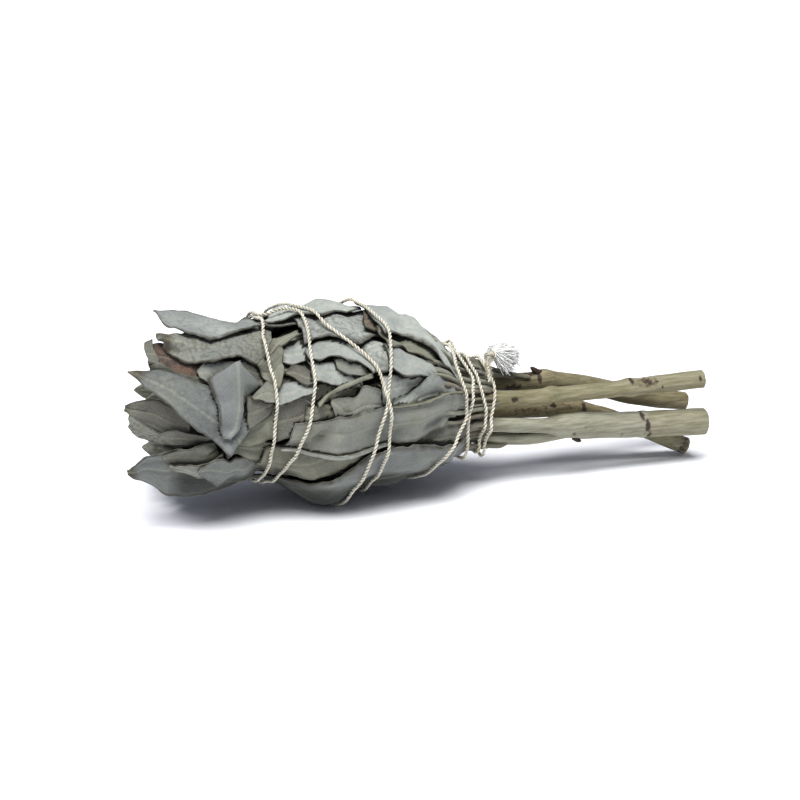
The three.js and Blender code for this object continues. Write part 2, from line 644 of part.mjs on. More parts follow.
function twineSolid() {
  const curve = new Polyline(twineCentres());
  const steps = Math.round(curve.getLength() / TWINE_STEP);
  const half = TWINE / 2;
  const section = new THREE.Shape();
  const sides = 4;
  for (let i = 0; i < sides; i++) {
    const turned = i / sides * Math.PI * 2;
    section[i ? 'lineTo' : 'moveTo'](half * Math.cos(turned), half * Math.sin(turned));
  }
  const winding = new THREE.ExtrudeGeometry(section, { steps, bevelEnabled: false, extrudePath: curve });
  return { winding: toSolid(winding), length: curve.getLength() };
}

// The frayed white end of the twine, fanning out from its knot.
function tuftSolids(random) {
  const [x, angle] = TUFT.at;
  const foot = place(x, angle, headRadius(x) + TUFT.rise);
  const knot = new THREE.IcosahedronGeometry(1.7, 1);
  knot.scale(1, 1.25, 0.8).translate(...foot);
  const fibres = Array.from({ length: TUFT.fibres }, (_, i) => {
    const fan = radians(mix(...TUFT.fan, i / (TUFT.fibres - 1)));
    const direction = new THREE.Vector3(Math.cos(fan), 0.4 * (random() - 0.5), Math.sin(fan)).normalize();
    const length = TUFT.length * (0.8 + 0.2 * random());
    const fibre = new THREE.CylinderGeometry(TUFT.radius * 1.1, TUFT.radius * 0.7, length, 5);
    fibre.translate(0, length / 2, 0);
    fibre.applyQuaternion(new THREE.Quaternion().setFromUnitVectors(new THREE.Vector3(0, 1, 0), direction));
    return fibre.translate(...foot);
  });
  return [knot, ...fibres].map(toSolid);
}

// ---- the whole bundle ----
const random = randomFrom(SEED);
coverCore();
coverStems();
const laid = [];
const layLeaves = (leaves) => leaves.forEach((leaf) => layLeaf(leaf, random, laid));
ruledLeaves(random).forEach(layLeaves);
layLeaves(PLACED_LEAVES);

const press = pressing();
layers = new Layers(STEMS.length + 2);
coverStems();
laid.forEach(({ grid, owner }) => {
  grid.flat().forEach((corner) => {
    corner.radius *= press(corner.x, corner.angle);
  });
  coverLeaf(grid, owner);
});

const bores = fuse(STEMS.flatMap(({ limbs }) => limbs).map((limb) => limbSolid(limb, SLOT, STEM_SIDES)));
const solids = new Map();
STEMS.forEach((stem, i) => {
  const leaves = laid.filter(({ owner }) => owner === i).map(({ grid }) => leafSolid(grid));
  const leafy = fuse([coreSolid(stem, press), ...leaves]).subtract(bores);
  solids.set(`stem_${stem.name}`, { solid: mainBody(stemSolid(stem)), colour: COLOURS.stem, roughness: 0.7 });
  solids.set(`leaves_${stem.name}`, { solid: mainBody(aboveFloor(leafy)), colour: COLOURS.leaf, roughness: 0.9 });
});
const { winding, length } = twineSolid();
solids.set('twine', {
  solid: mainBody(aboveFloor(fuse([winding, ...tuftSolids(random)]))), colour: COLOURS.twine, roughness: 0.85,
});

const group = new THREE.Group();
group.userData.twineLength = length;
for (const [name, { solid, colour, roughness }] of solids) {
  const mesh = new THREE.Mesh(toGeometry(solid),
    new THREE.MeshStandardMaterial({ color: colour, roughness, metalness: 0 }));
  mesh.name = name;
  group.add(mesh);
}

// The origin lies under the middle of the whole bundle, on the surface it rests on.
const extent = new THREE.Box3().setFromObject(group);
const centre = extent.getCenter(new THREE.Vector3());
group.position.set(-centre.x, -centre.y, -extent.min.z);
group.updateMatrixWorld(true);

export default group;
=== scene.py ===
"""A dried white sage bundle on a pale floor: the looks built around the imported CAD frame.

The bundle is made in its own coordinates in millimetres, as in the CAD: x along the bundle, an angle
about its sloping axis (0 on top, 90 towards the camera, 180 underneath) and a radius from that axis.
Every leaf is laid on what already lies there, then the whole head is drawn in to its bound shape.
"""
import math
import bpy
import numpy as np
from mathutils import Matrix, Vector


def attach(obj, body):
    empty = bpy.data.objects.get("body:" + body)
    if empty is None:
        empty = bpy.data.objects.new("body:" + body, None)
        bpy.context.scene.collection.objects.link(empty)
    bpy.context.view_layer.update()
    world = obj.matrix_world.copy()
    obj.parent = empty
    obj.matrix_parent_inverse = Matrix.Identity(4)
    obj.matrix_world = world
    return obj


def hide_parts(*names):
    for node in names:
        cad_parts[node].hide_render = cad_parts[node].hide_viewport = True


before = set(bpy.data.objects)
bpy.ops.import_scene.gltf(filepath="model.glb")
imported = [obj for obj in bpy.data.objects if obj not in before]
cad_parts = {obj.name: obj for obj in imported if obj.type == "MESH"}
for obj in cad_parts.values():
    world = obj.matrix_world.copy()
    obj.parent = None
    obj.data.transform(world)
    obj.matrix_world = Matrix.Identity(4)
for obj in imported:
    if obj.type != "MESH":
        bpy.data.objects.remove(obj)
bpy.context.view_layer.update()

MM = 0.001
ORIGIN = np.array([-0.736, -0.053, 0.45])   # where the CAD puts the bundle's own origin, in mm
SEED = 11

# ---- the bound head, each as (x, value) ----
HEAD_RADIUS = [
    (-74, 12.5), (-66, 16), (-60, 18.8), (-55, 19.5), (-48, 19.4), (-40, 18.4), (-35, 18.8), (-29, 21.4),
    (-22, 22.2), (-13, 21.4), (-6, 20.4), (0, 19.2), (4, 16.6), (7, 13.4), (10, 11.2), (15, 10.4), (24, 10.2)]
AXIS_HEIGHT = [(-72, 25), (-55, 24.6), (-34, 23.4), (-20, 22.5), (0, 20.8), (10, 18.6), (20, 18), (70, 13)]
CORE_RADIUS = [
    (-49, 0.3), (-48, 3), (-45, 8), (-41, 11), (-30, 14.5), (-12, 15.5), (-3, 16), (4, 12), (9, 8), (12, 6)]
# The leaves of each stem sit between two angles round the head.
SECTORS = {"front_top": (15, 95), "front_low": (95, 175), "back_low": (175, 275), "back_top": (275, 375)}
SURFACE = -0.45       # height of what the bundle lies on
CLEAR = 0.03          # leaves stay this far above it
BLADE = 0.42          # thickness of a leaf
GAP = 0.12            # air between leaves that lie on each other
SETTLING = 1.3        # a leaf by itself rests this far inside the bound outline
LEAST_RADIUS = 2.0    # no leaf rests nearer to the axis than this

# ---- the twine ----
TWINE = 1.0           # thickness
PLIES = 2
PLY_PITCH = 2.0       # length of one turn of a ply about the twine
PLY_OFFSET = 0.2      # from the twine's centre line to that of a ply
PLY_RADIUS = 0.215
HAIRS = 420           # loose hairs on each stretch of twine
ROUTE_RADIUS = 18     # the route is drawn flat, as on a roller of this radius
# The winding, given as (angle, x), with the angle growing turn after turn.
TWINE_ROUTE = [
    (-60, 9.5), (15, 8), (45, 6.5), (75, 7.2), (90, 7.3), (105, 4.6), (120, 1.2), (150, -1.6), (180, -4),
    (225, -10), (270, -14), (315, -14.3), (360, -13), (390, -10.2), (405, -10.9), (435, -13.2),
    (465, -16.5), (495, -19.4), (515, -20.8), (535, -22.6), (560, -27), (590, -32), (630, -34.6),
    (675, -35.8), (720, -35.6), (750, -37.8), (795, -38), (840, -38.9), (900, -39.5), (945, -39.5),
    (990, -38), (1035, -36), (1072, -34.8), (1080, -31.5), (1095, -28.3), (1125, -29.1), (1155, -30.3),
    (1185, -33.2), (1215, -35.5), (1260, -37), (1305, -36), (1350, -33), (1395, -31), (1425, -29),
    (1440, -28), (1455, -25.2), (1470, -22.6), (1485, -18.2), (1500, -15), (1530, -12.9), (1560, -13.8),
    (1605, -14.6), (1650, -11.5), (1710, -3), (1755, 7), (1790, 9.8), (1830, 10.7), (1845, 11.5),
    (1875, 9.4), (1905, 8.3), (1930, 8.6), (1980, 9.6), (2070, 11), (2160, 12), (2220, 13), (2250, 13.8),
    (2290, 12.9), (2340, 13.4), (2430, 14.8), (2520, 15.8), (2580, 16.6), (2610, 15.4), (2645, 14.2),
    (2700, 14.6), (2790, 16.6), (2868, 17.6)]

# The cut end of the twine: where its knot is, and the short run up to it as (x, angle, radius).
KNOT_X, KNOT_Y, KNOT_RISE = 17.9, -2.2, 11.0
KNOT_LEAD = [(15.2, 52, 11.1), (15.8, 34, 11.3), (16.9, 19, 11.5), (17.7, 12, 11.2)]

# Where the twine pulls the leaves in: (x, from angle, to angle, depth, half length).
GROOVES = [
    (-38.4, 35, 320, 1.6, 2.6), (-31, 25, 240, 0.9, 2.6), (-13.5, 60, 150, 1.3, 3.2),
    (-12.8, 150, 215, 2.8, 3.6), (-29, 165, 215, 1.5, 3), (-3.5, 150, 215, 1.4, 3.5)]
BELLY = (-25, 2.9, 6.5)      # the underside's fullest place: x, how much fuller, half length
FLARE_FROM, FLARE = -52, 1.5 # to the left of this x the free tips stand out this much further
FLATTENED = 1.0              # leaves below may be bound this far past the surface; they then lie flat on it


def smooth_step(share):
    """0 below 0, 1 above 1 and an even curve between."""
    share = np.clip(share, 0, 1)
    return share * share * (3 - 2 * share)


def from_table(table, x):
    """The table's value at x, with a smooth step between its places."""
    xs, values = np.array(table, float).T
    x = np.clip(x, xs[0], xs[-1])
    i = np.clip(np.searchsorted(xs, x, side="right") - 1, 0, len(xs) - 2)
    share = smooth_step((x - xs[i]) / (xs[i + 1] - xs[i]))
    return values[i] + (values[i + 1] - values[i]) * share


def head_radius(x):
    """The outer radius of the bound head."""
    return from_table(HEAD_RADIUS, x)


def axis_height(x):
    """The height of the bundle's sloping axis."""
    return from_table(AXIS_HEIGHT, x)


def place(x, angle, radius):
    """Scene points in metres for bundle coordinates in mm and degrees."""
    turned = np.radians(angle)
    points = np.stack([x, -radius * np.sin(turned), axis_height(x) + radius * np.cos(turned)], -1)
    return (points + ORIGIN) * MM


def above_floor(points, clear=CLEAR * MM):
    """The points with none lower than a little above the surface."""
    points[..., 2] = np.maximum(points[..., 2], clear)
    return points


def ripple(random, u, v, wavelength, waves=5):
    """Smooth noise from -1 to 1 over (u, v) in mm."""
    total = 0
    for _ in range(waves):
        heading, phase = random.uniform(0, 2 * np.pi, 2)
        number = 2 * np.pi / (wavelength * random.uniform(0.7, 1.5))
        total = total + np.sin(number * (u * np.cos(heading) + v * np.sin(heading)) + phase)
    return total / waves


# ---- what lies where ----
class Layers:
    """The top of all that is laid, in cells over (x, angle)."""
    LOW, STEP, COLUMNS, TURNS = -84.0, 0.4, 290, 360     # a cell is 0.4 mm by one degree

    def __init__(self):
        self.top = np.zeros((self.COLUMNS, self.TURNS))

    def cells(self, x, angle):
        """The column and row of each place."""
        column = np.clip(np.rint((x - self.LOW) / self.STEP), 0, self.COLUMNS - 1).astype(int)
        return column, np.rint(np.mod(angle, 360)).astype(int) % self.TURNS

    @staticmethod
    def spread(field, reach=1):
        """Each cell takes the highest value of its neighbours."""
        for _ in range(reach):
            field = np.maximum(field, np.maximum(np.roll(field, 1, 1), np.roll(field, -1, 1)))
            field[1:-1] = np.maximum(field[1:-1], np.maximum(field[:-2], field[2:]))
        return field

    def cover(self, x, angle, top, reach=1):
        """Raises the top to what is laid at these places and so many cells about them."""
        fresh = np.zeros_like(self.top)
        np.maximum.at(fresh, self.cells(x, angle), top)
        self.top = np.maximum(self.top, self.spread(fresh, reach))

    def height(self, x, angle):
        """The radius of the top there, or 0 where nothing is laid."""
        return self.top[self.cells(x, angle)]


def blur(field, times=1, axes=(0, 1)):
    """The field with each value evened out with its neighbours."""
    for _ in range(times):
        for axis in axes:
            padded = np.pad(field, [(1, 1) if a == axis else (0, 0) for a in (0, 1)], mode="edge")
            low, mid, high = (np.take(padded, np.arange(field.shape[axis]) + k, axis) for k in (0, 1, 2))
            field = (low + 2 * mid + high) / 4
    return field


# ---- the leaves ----
def leaf(tip, root, wide, deep=0.0, lift=0.0, **more):
    """tip, root: (x, angle). wide: full width. deep: how far under the outer radius. lift: how far the
    tip turns out. tilt: how much higher the edge of larger angle stands. cup: how much both edges
    stand up. keel: how far the midrib stands up. roll: how far the (low, high) edges curl out.
    bow: sideways curve. widest: where it is widest, from tip to root. point: how sharp its tip is.
    burnt: how brown its tip is. tone: its colour. pebble: how pebbled its face is. wave: how wavy it is.
    hook: how near the tip its lift begins. folded: whether it is the leaf of FOLDED."""
    spec = dict(tip=tip, root=root, wide=wide, deep=deep, lift=lift, tilt=0.0, cup=0.0, keel=0.0, roll=(0, 0),
                bow=0.0, widest=0.42, point=0.7, burnt=0.4, tone="grey", pebble=0.25, wave=0.35, hook=2)
    spec.update(more)
    return spec


def sheet(low, high, deep=0.0, **more):
    """A leaf by its edges, each a run of (x, angle) from its outer to its inner end."""
    middle = (low[-1][1] + high[-1][1]) / 2
    more.setdefault("burnt", 0.0)
    return leaf(low[0], (low[-1][0], middle), None, deep, low=low, high=high, **more)


SHEET_TURN = math.radians(20)      # mm along the surface for a degree of turn, near enough
# The leaf colours by name: places on the ramp of leaf_colour.
TONES = {
    "rust": 0.02, "tan": 0.06, "brown": 0.14, "dark": 0.2, "mauve": 0.24, "moss": 0.36, "straw": 0.4,
    "olive": 0.42, "grey": 0.52, "slate": 0.62, "blue": 0.68, "soft": 0.8, "light": 0.86, "pale": 0.92}

# Rows of leaves that go round the head by rule; the first are its inner leaves. tip, root: x. span: from
# angle to angle. The rest is as in leaf.
ROWS = [
    dict(tip=-55, root=-36, span=(0, 360), count=4, wide=30, deep=17.2, lift=0),
    dict(tip=-56, root=-38, span=(0, 360), count=6, wide=19, deep=15, lift=0),
    dict(tip=-55, root=-40, span=(0, 360), count=8, wide=14, deep=12.5, lift=0),
    dict(tip=-57, root=-42, span=(0, 360), count=10, wide=12, deep=10, lift=0),
    dict(tip=-56, root=-44, span=(0, 360), count=12, wide=9, deep=7, lift=0),
    dict(tip=-62, root=-44, span=(165, 290), count=6, wide=9, deep=3.5, lift=0),
    dict(tip=-56, root=-32, span=(176, 324), count=6, wide=13, deep=0.6, lift=0.5),
    dict(tip=-40, root=-18, span=(0, 360), count=12, wide=11, deep=3, lift=0),
    dict(tip=-39, root=-12, span=(208, 338), count=5, wide=13, deep=0.8, lift=0.3),
    dict(tip=-22, root=10, span=(0, 360), count=12, wide=11, deep=2.6, lift=0),
    dict(tip=-20, root=14, span=(168, 352), count=6, wide=13, deep=0.3, lift=0.3),
]

# The leaves about the open end, from the inmost.
OPEN_END = [
    # inside the cup
    leaf((-60.5, 20), (-40, 24), 7, 3.5, 0.6, tone="dark", roll=(1, 0.6), burnt=0.9),
    sheet([(-63, 17), (-60.5, 20), (-57.5, 26), (-52, 34)],
          [(-63.5, 40), (-59.5, 49), (-56, 55), (-50, 57)], 1.0, tone="rust", wave=0.5, roll=(0.3, 0.2),
          keel=-0.3, burnt=0.0),
    sheet([(-63.5, 18), (-62, 19)], [(-64, 36), (-62, 44)], 0.4, tone="mauve", roll=(0.6, 0.8)),
    sheet([(-44.5, 40), (-41, 38), (-37, 42)], [(-45, 48), (-42, 53), (-38, 60)], 1.4, tone="mauve"),
    sheet([(-69.5, 69), (-67, 66), (-63.5, 66), (-61, 72), (-57, 80)],
          [(-69.5, 76), (-67, 88), (-63.5, 96), (-61, 103), (-56, 106)], 2.6, tone="mauve", keel=-0.9,
          wave=0.4, burnt=0.6),
    sheet([(-69, 79), (-67, 86), (-64, 95), (-61, 103), (-57, 107)],
          [(-69, 95), (-67.5, 105), (-65, 110), (-61, 112), (-57, 112)], 2.2, tone="grey", pebble=1.2,
          wave=0.6, roll=(0.7, 0.2), keel=0.4),
    sheet([(-63.5, 96), (-60.5, 93), (-57, 96), (-52, 102)],
          [(-62.5, 103), (-60.5, 106), (-57, 108), (-52, 108)], 1.6, tone="mauve", roll=(0.3, 0.4),
          keel=0.4),
    sheet([(-64, 42), (-61.5, 45), (-58.5, 51), (-53, 58)],
          [(-63.5, 47), (-61, 54), (-58, 61), (-53, 68)], 0.8, tone="olive", roll=(0.8, 0.5), burnt=0.5),
    sheet([(-54.5, 50), (-52.5, 45), (-50, 43), (-47, 42), (-43.5, 45)],
          [(-54.5, 57), (-53, 60), (-51, 64), (-47.5, 64), (-43.5, 60)], 1.2, tone="grey", keel=0.7,
          roll=(0.2, 0.2)),
    # the low side
    leaf((-53, 122), (-30, 134), 10, 1, 0.5, tone="grey", roll=(0.9, 0), wave=0.7),
    sheet([(-68.8, 148), (-66.5, 131), (-63, 118), (-60, 110), (-52, 116), (-44, 128)],
          [(-68.6, 152), (-66, 155), (-62, 156), (-56, 160), (-49, 159), (-44, 152)], 0.6, tone="slate",
          wave=0.3, roll=(1.2, 0), keel=-0.5, burnt=0.9, cup=0.3),
    sheet([(-62.5, 116), (-60, 108), (-56, 105), (-51, 106)],
          [(-62, 123), (-60, 126), (-56, 126), (-50, 118)], 0.5, tone="mauve", roll=(0.9, 0.3), keel=-0.4),
    sheet([(-61.5, 122), (-59, 121), (-55, 117), (-50, 110)],
          [(-60.5, 127), (-58.5, 132), (-55, 134), (-49, 130)], 0.4, tone="grey", roll=(0.7, 0.4)),
    sheet([(-55, 117), (-52, 111), (-46, 117), (-39, 120)],
          [(-55.5, 122), (-52, 130), (-46.5, 140), (-38, 140)], 0, tone="slate", roll=(0.6, 0.5), wave=0.5),
    sheet([(-49.5, 106), (-45.5, 105), (-41.5, 107), (-36, 111)],
          [(-49.5, 111), (-45, 115), (-41, 120), (-36, 122)], 0.2, tone="olive", roll=(0.6, 0.6), wave=0.6),
    # about the fold
    leaf((-48, 84), (-30, 76), 10, 2, tone="dark"),
    leaf((-45, 66), (-30, 64), 7, 1.0, 0.6, tone="olive", point=1.0, keel=0.7, burnt=0.2),
    leaf((-49, 105), (-28, 70), 9.5, 1.0, 0.6, tone="olive", wave=0.4, roll=(0.2, 0.8), keel=-0.4),
    leaf((-68.6, 41.5), (-42, 112), 9.8, 0, 0.6, tilt=-0.6, tone="slate", wave=0.35, roll=(0.2, 1.3),
         bow=-0.7, widest=0.6, point=1.0, burnt=1.0, keel=0.4, pebble=0.5),
    leaf((-50, 97), (-44, 46), 8, tone="slate", pebble=0.1, burnt=0.0, folded=True),
    # on top
    sheet([(-61, 18), (-58.5, 20), (-53, 23)],
          [(-61, 25), (-58.5, 28), (-53, 30)], 0.2, tone="brown", roll=(0.8, 0.8), lift=1.0),
    sheet([(-60.5, 26), (-57.5, 22), (-52, 21), (-44, 14), (-34, 4)],
          [(-60.3, 28), (-58.5, 38), (-56.5, 44), (-52.5, 47), (-47, 42), (-44, 40), (-36, 46)], 0.4,
          tone="grey", pebble=1.0, roll=(0, 0.6), wave=0.4, burnt=0.9, keel=0.5),
    sheet([(-60.4, 2), (-57, -5), (-51, -12), (-45, -18), (-38, -20), (-28, -14)],
          [(-60.2, 4), (-58.8, 16), (-55.5, 26), (-51, 29), (-46.5, 25), (-41.5, 15), (-36, 9), (-27, 18)],
          0.4, lift=3.0, hook=4, tone="soft", pebble=0.6, roll=(0.1, 0.8), burnt=0.5, wave=0.2, keel=0.5),
]

# The leaves of the middle and the shoulder, from the inmost.
MIDDLE = [
    leaf((-40, 44), (-24, 40), 8, 1.4, tone="olive", wave=0.6),
    leaf((-14, 132), (15, 130), 11, 0.4, tone="grey", wave=0.4, keel=0.4),
    leaf((-10, 108), (15, 108), 7, 0.8, tone="dark", wave=0.5, roll=(0.4, 0.4)),
    sheet([(-44.5, 70), (-41, 70), (-38, 72)], [(-44.5, 93), (-42.5, 91), (-38.5, 82)], 1.6, tone="dark"),
    sheet([(-30, 60), (-26.5, 62), (-23, 62), (-18, 60)],
          [(-30.5, 82), (-28, 82), (-24, 78), (-19, 74)], 1.4, tone="olive"),
    sheet([(-25, 55), (-21.5, 56), (-18, 58)], [(-25, 67), (-21.5, 67), (-18, 66)], 1.6, tone="dark"),
    sheet([(-37.5, 76), (-34.5, 74), (-32, 71), (-29.5, 69)],
          [(-38, 103), (-35, 101), (-32, 99), (-30, 88)], 1.2, tone="mauve", wave=0.4),
    sheet([(-31.5, 79), (-28.5, 78), (-26, 77), (-24, 78)],
          [(-31.5, 92), (-29, 90), (-26.5, 88), (-23, 86)], 0.9, tone="olive", roll=(0.3, 0)),
    sheet([(-13, 59), (-8.5, 58), (-3, 58)], [(-13.5, 82), (-10, 76), (-3, 68)], 1.0, tone="light"),
    sheet([(-37.5, 62), (-34.5, 61), (-31.5, 60), (-29, 60)],
          [(-38, 77), (-34.5, 75), (-32, 72), (-29.5, 70)], 0.8, tone="light", roll=(0, 0.5)),
    sheet([(-34, 30), (-31.5, 29), (-29.5, 31), (-28, 38)],
          [(-34.5, 43), (-33, 46), (-31.5, 47), (-28.5, 46)], 0.8, tone="light", roll=(0.2, 0.6)),
    sheet([(-38, 38), (-35.5, 27), (-32.5, 23), (-29.5, 23)],
          [(-37.5, 42), (-34.5, 34), (-32, 31), (-29.5, 29)], 0.4, tone="olive", roll=(0.9, 0.9)),
    sheet([(-39.5, 46), (-37, 39), (-34.8, 34), (-34, 38)],
          [(-39.5, 54), (-38.5, 60), (-37, 65), (-35, 54)], 0.6, tone="olive", roll=(0.3, 0.5), keel=0.4),
    sheet([(-34.8, 54), (-33, 50), (-31, 53), (-28.5, 60)],
          [(-34.5, 56), (-33, 60), (-31, 65), (-29, 63)], 0.3, tone="mauve", roll=(0.9, 0.9)),
    sheet([(-43.5, 70), (-41, 64), (-39.5, 60), (-37.5, 66)],
          [(-43, 72), (-41, 73), (-39.5, 75), (-37.5, 75)], 0.3, tone="grey", roll=(0.8, 0.2)),
    sheet([(-29.5, 47), (-26.5, 49), (-24, 49), (-18.5, 54)],
          [(-30, 63), (-27.5, 64), (-25, 66), (-18.5, 68)], 0.9, tone="light", keel=0.3),
    sheet([(-24.3, 49), (-21, 49), (-18.5, 53), (-15.5, 58)],
          [(-24, 56), (-22.5, 59), (-20, 61), (-15.5, 61)], 0.4, tone="grey", roll=(0.2, 1.2)),
    sheet([(-29, 76), (-25, 67.5), (-16, 59.5)],
          [(-29, 79), (-25, 70.5), (-16, 62.5)], 0.2, tone="straw", keel=0.9),
    sheet([(-25.5, 74), (-23.5, 73), (-20.5, 73), (-18.5, 67), (-14, 70)],
          [(-26, 77), (-25.4, 83), (-24.5, 92), (-20, 91), (-14, 89)], 0.5, tone="grey", roll=(0.9, 0)),
    sheet([(-19, 38), (-15, 29), (-12.5, 26), (-8.5, 30)],
          [(-17, 47), (-15.5, 56), (-13, 57), (-9, 55)], 0.8, tone="light", pebble=0.8, wave=0.4),
    sheet([(-29.5, 40), (-24.5, 34), (-19.5, 35), (-17, 42), (-14.5, 54)],
          [(-29.5, 49), (-25, 49), (-22.5, 51), (-19.5, 53), (-16, 60)], 0.5, tone="light",
          roll=(0.3, 0.7)),
    sheet([(-29, 4), (-24, -8), (-19.5, -20), (-12, -32), (-3, -34)],
          [(-29.5, 36), (-25, 33), (-21, 35), (-17.5, 39), (-9, 21)], 0.4, tone="soft", pebble=1.0,
          roll=(0, 0.5), wave=0.4),
    sheet([(-12.5, 6), (-9, -6), (-4, -20)],
          [(-14.5, 26), (-12.5, 27), (-8.5, 18)], -0.1, tone="tan", roll=(0.6, 0.8), wave=0.8),
    sheet([(-35, 0), (-30, -20), (-20, -26), (-11, -14)],
          [(-34, 6), (-29, 13), (-23, 14), (-12, -2)], 0.1, tone="pale", roll=(0, 0.3), keel=0.5),
    # the shoulder
    sheet([(-11.5, 40), (-6.5, 42), (-1, 48), (6, 60)],
          [(-11, 56), (-9, 60), (-3, 61), (5, 69)], 0.6, tone="light", keel=0.4, roll=(0, 0.5)),
    sheet([(-12, 26), (-5, 22), (-1, 24), (6, 42)],
          [(-11, 43), (-6, 40), (-2, 42), (5.5, 55)], 0.9, tone="moss", keel=-0.6, wave=0.6),
    sheet([(-13, -10), (-8, -18), (-2, -18), (5, -6), (9, 20)],
          [(-11, 34), (-6, 27), (-3, 30), (1, 40), (7, 58)], 0, tone="light", roll=(0.3, 1.1), wave=0.5,
          keel=0.4),
    sheet([(-11, 76), (-7, 71), (-3.5, 62), (1, 61), (7, 65)],
          [(-12, 88), (-8, 86), (-4.5, 85), (0, 83), (7, 78)], 0.4, tone="light", roll=(0.3, 0)),
    # the low side
    sheet([(-40, 112), (-32.5, 107), (-24.5, 102), (-14, 97)],
          [(-41.5, 127), (-35, 145), (-31.5, 137), (-28, 128), (-23, 120), (-13, 107)], 0.5, tone="moss",
          roll=(0, 0.6), keel=0.3),
    sheet([(-34, 90), (-23.5, 84.5), (-15, 80.5), (-4.5, 76.5), (9, 66)],
          [(-36, 112), (-27, 108.5), (-20, 107), (-12, 106), (-3, 101), (6, 90)], 0, tone="grey",
          roll=(0.4, 0.6), wave=0.15, keel=0.3, pebble=0.1),
    sheet([(-13, 80), (-4, 76), (8, 65.5)], [(-13, 81.3), (-4, 77.6), (8, 67)], 0, tone="straw", keel=0.5),
    sheet([(-37, 109), (-27, 108), (-13, 105)],
          [(-37, 111), (-27, 110.5), (-13, 107)], 0, tone="light", keel=0.3),
    leaf((-37, 196), (-4, 196), 14, 0.6, tone="grey"),
    leaf((-35, 174), (-3, 178), 15, tone="olive"),
    sheet([(-42, 149), (-35, 149), (-31, 139), (-27, 129), (-23, 120), (-15.5, 110), (-10, 106), (-4, 107),
          (8, 116)],
          [(-41, 160), (-36, 176), (-28, 188), (-18, 190), (-8, 182), (2, 166), (9, 150)], 0, tone="slate",
          pebble=0.1, wave=0.2, roll=(0.8, 0), keel=0.4),
]

SCRAPS = 60
PER_MM = 2.9                     # degrees round the head for a mm, near enough
SHORT_TOP = (-60, 35)            # at the top of the open end, between these angles,
SHORT_TOP_TIP = -50              # the leaves laid by rule reach no further than this x

# The folded leaf near the open end: the angle of each place down its fold, with the x of its free
# edge, of the fold and of its other edge.
FOLDED = [
    (45, -45.2, -44.6, -44.2), (52, -49.2, -44.8, -41.6), (60, -53.2, -45.1, -39.8),
    (67, -52.4, -45.4, -42.2), (75, -51.2, -45.7, -44.9), (84, -51.1, -46.2, -45.7),
    (92, -50.8, -46.9, -46.5), (98, -50.4, -48.9, -48.7)]
FOLD_HEIGHT = 3.4                # how far the fold stands out
FOLD_FACE = 9                    # points across each face of the fold


def ruled_leaves(random):
    """The leaves of the rows, each a little off its place."""
    made = []
    for row in ROWS:
        low, high = row["span"]
        for i in range(row["count"]):
            angle = low + (i + 0.5) / row["count"] * (high - low) + random.uniform(-7, 7)
            tip = row["tip"] + random.uniform(-4, 4)
            if (angle - SHORT_TOP[0]) % 360 < SHORT_TOP[1] - SHORT_TOP[0]:
                tip = max(tip, SHORT_TOP_TIP)
            tone = random.choice(["grey", "grey", "olive", "blue", "pale", "dark"])
            made.append(leaf(
                (tip, angle + random.uniform(-7, 7)), (row["root"] + random.uniform(-1.5, 1.5), angle),
                row["wide"] + random.uniform(-2, 2), row["deep"], row["lift"], tone=str(tone),
                roll=tuple(random.uniform(0, 0.8, 2)), wave=random.uniform(0.3, 0.7),
                bow=random.uniform(-1.5, 1.5), pebble=random.uniform(0.1, 0.9)))
    return made


def scraps(random):
    """Small broken and curled bits of leaf between the others."""
    made = []
    for _ in range(SCRAPS):
        x, angle, heading = random.uniform(-40, 2), random.uniform(30, 360), random.uniform(0, 2 * math.pi)
        size = random.uniform(5, 10)
        made.append(leaf(
            (x, angle), (x + size * math.cos(heading), angle + size * math.sin(heading) * PER_MM),
            random.uniform(3, 5), random.uniform(0.4, 1.4), random.uniform(0, 0.6), wave=0.8,
            point=random.uniform(0, 1), tone=str(random.choice(["brown", "olive", "dark", "grey"])),
            roll=tuple(random.uniform(0.2, 1.1, 2))))
    return made


def outline(share, widest, point, petiole):
    """Half width along a leaf from tip to root, as a share of the most."""
    rise = np.clip(1 - share / widest, 0, 1)
    tip = (1 - rise ** (2.3 - 0.8 * point)) ** (0.55 + 0.4 * point)
    body = 1 - 0.3 * np.clip((share - widest) / (1 - widest), 0, 1) ** 1.5
    narrowing, narrows_from = (0.86, 0.6) if petiole else (0.55, 0.8)
    neck = 1 - narrowing * smooth_step((share - narrows_from) / 0.25)
    return np.maximum(tip * body * neck, 0.02)


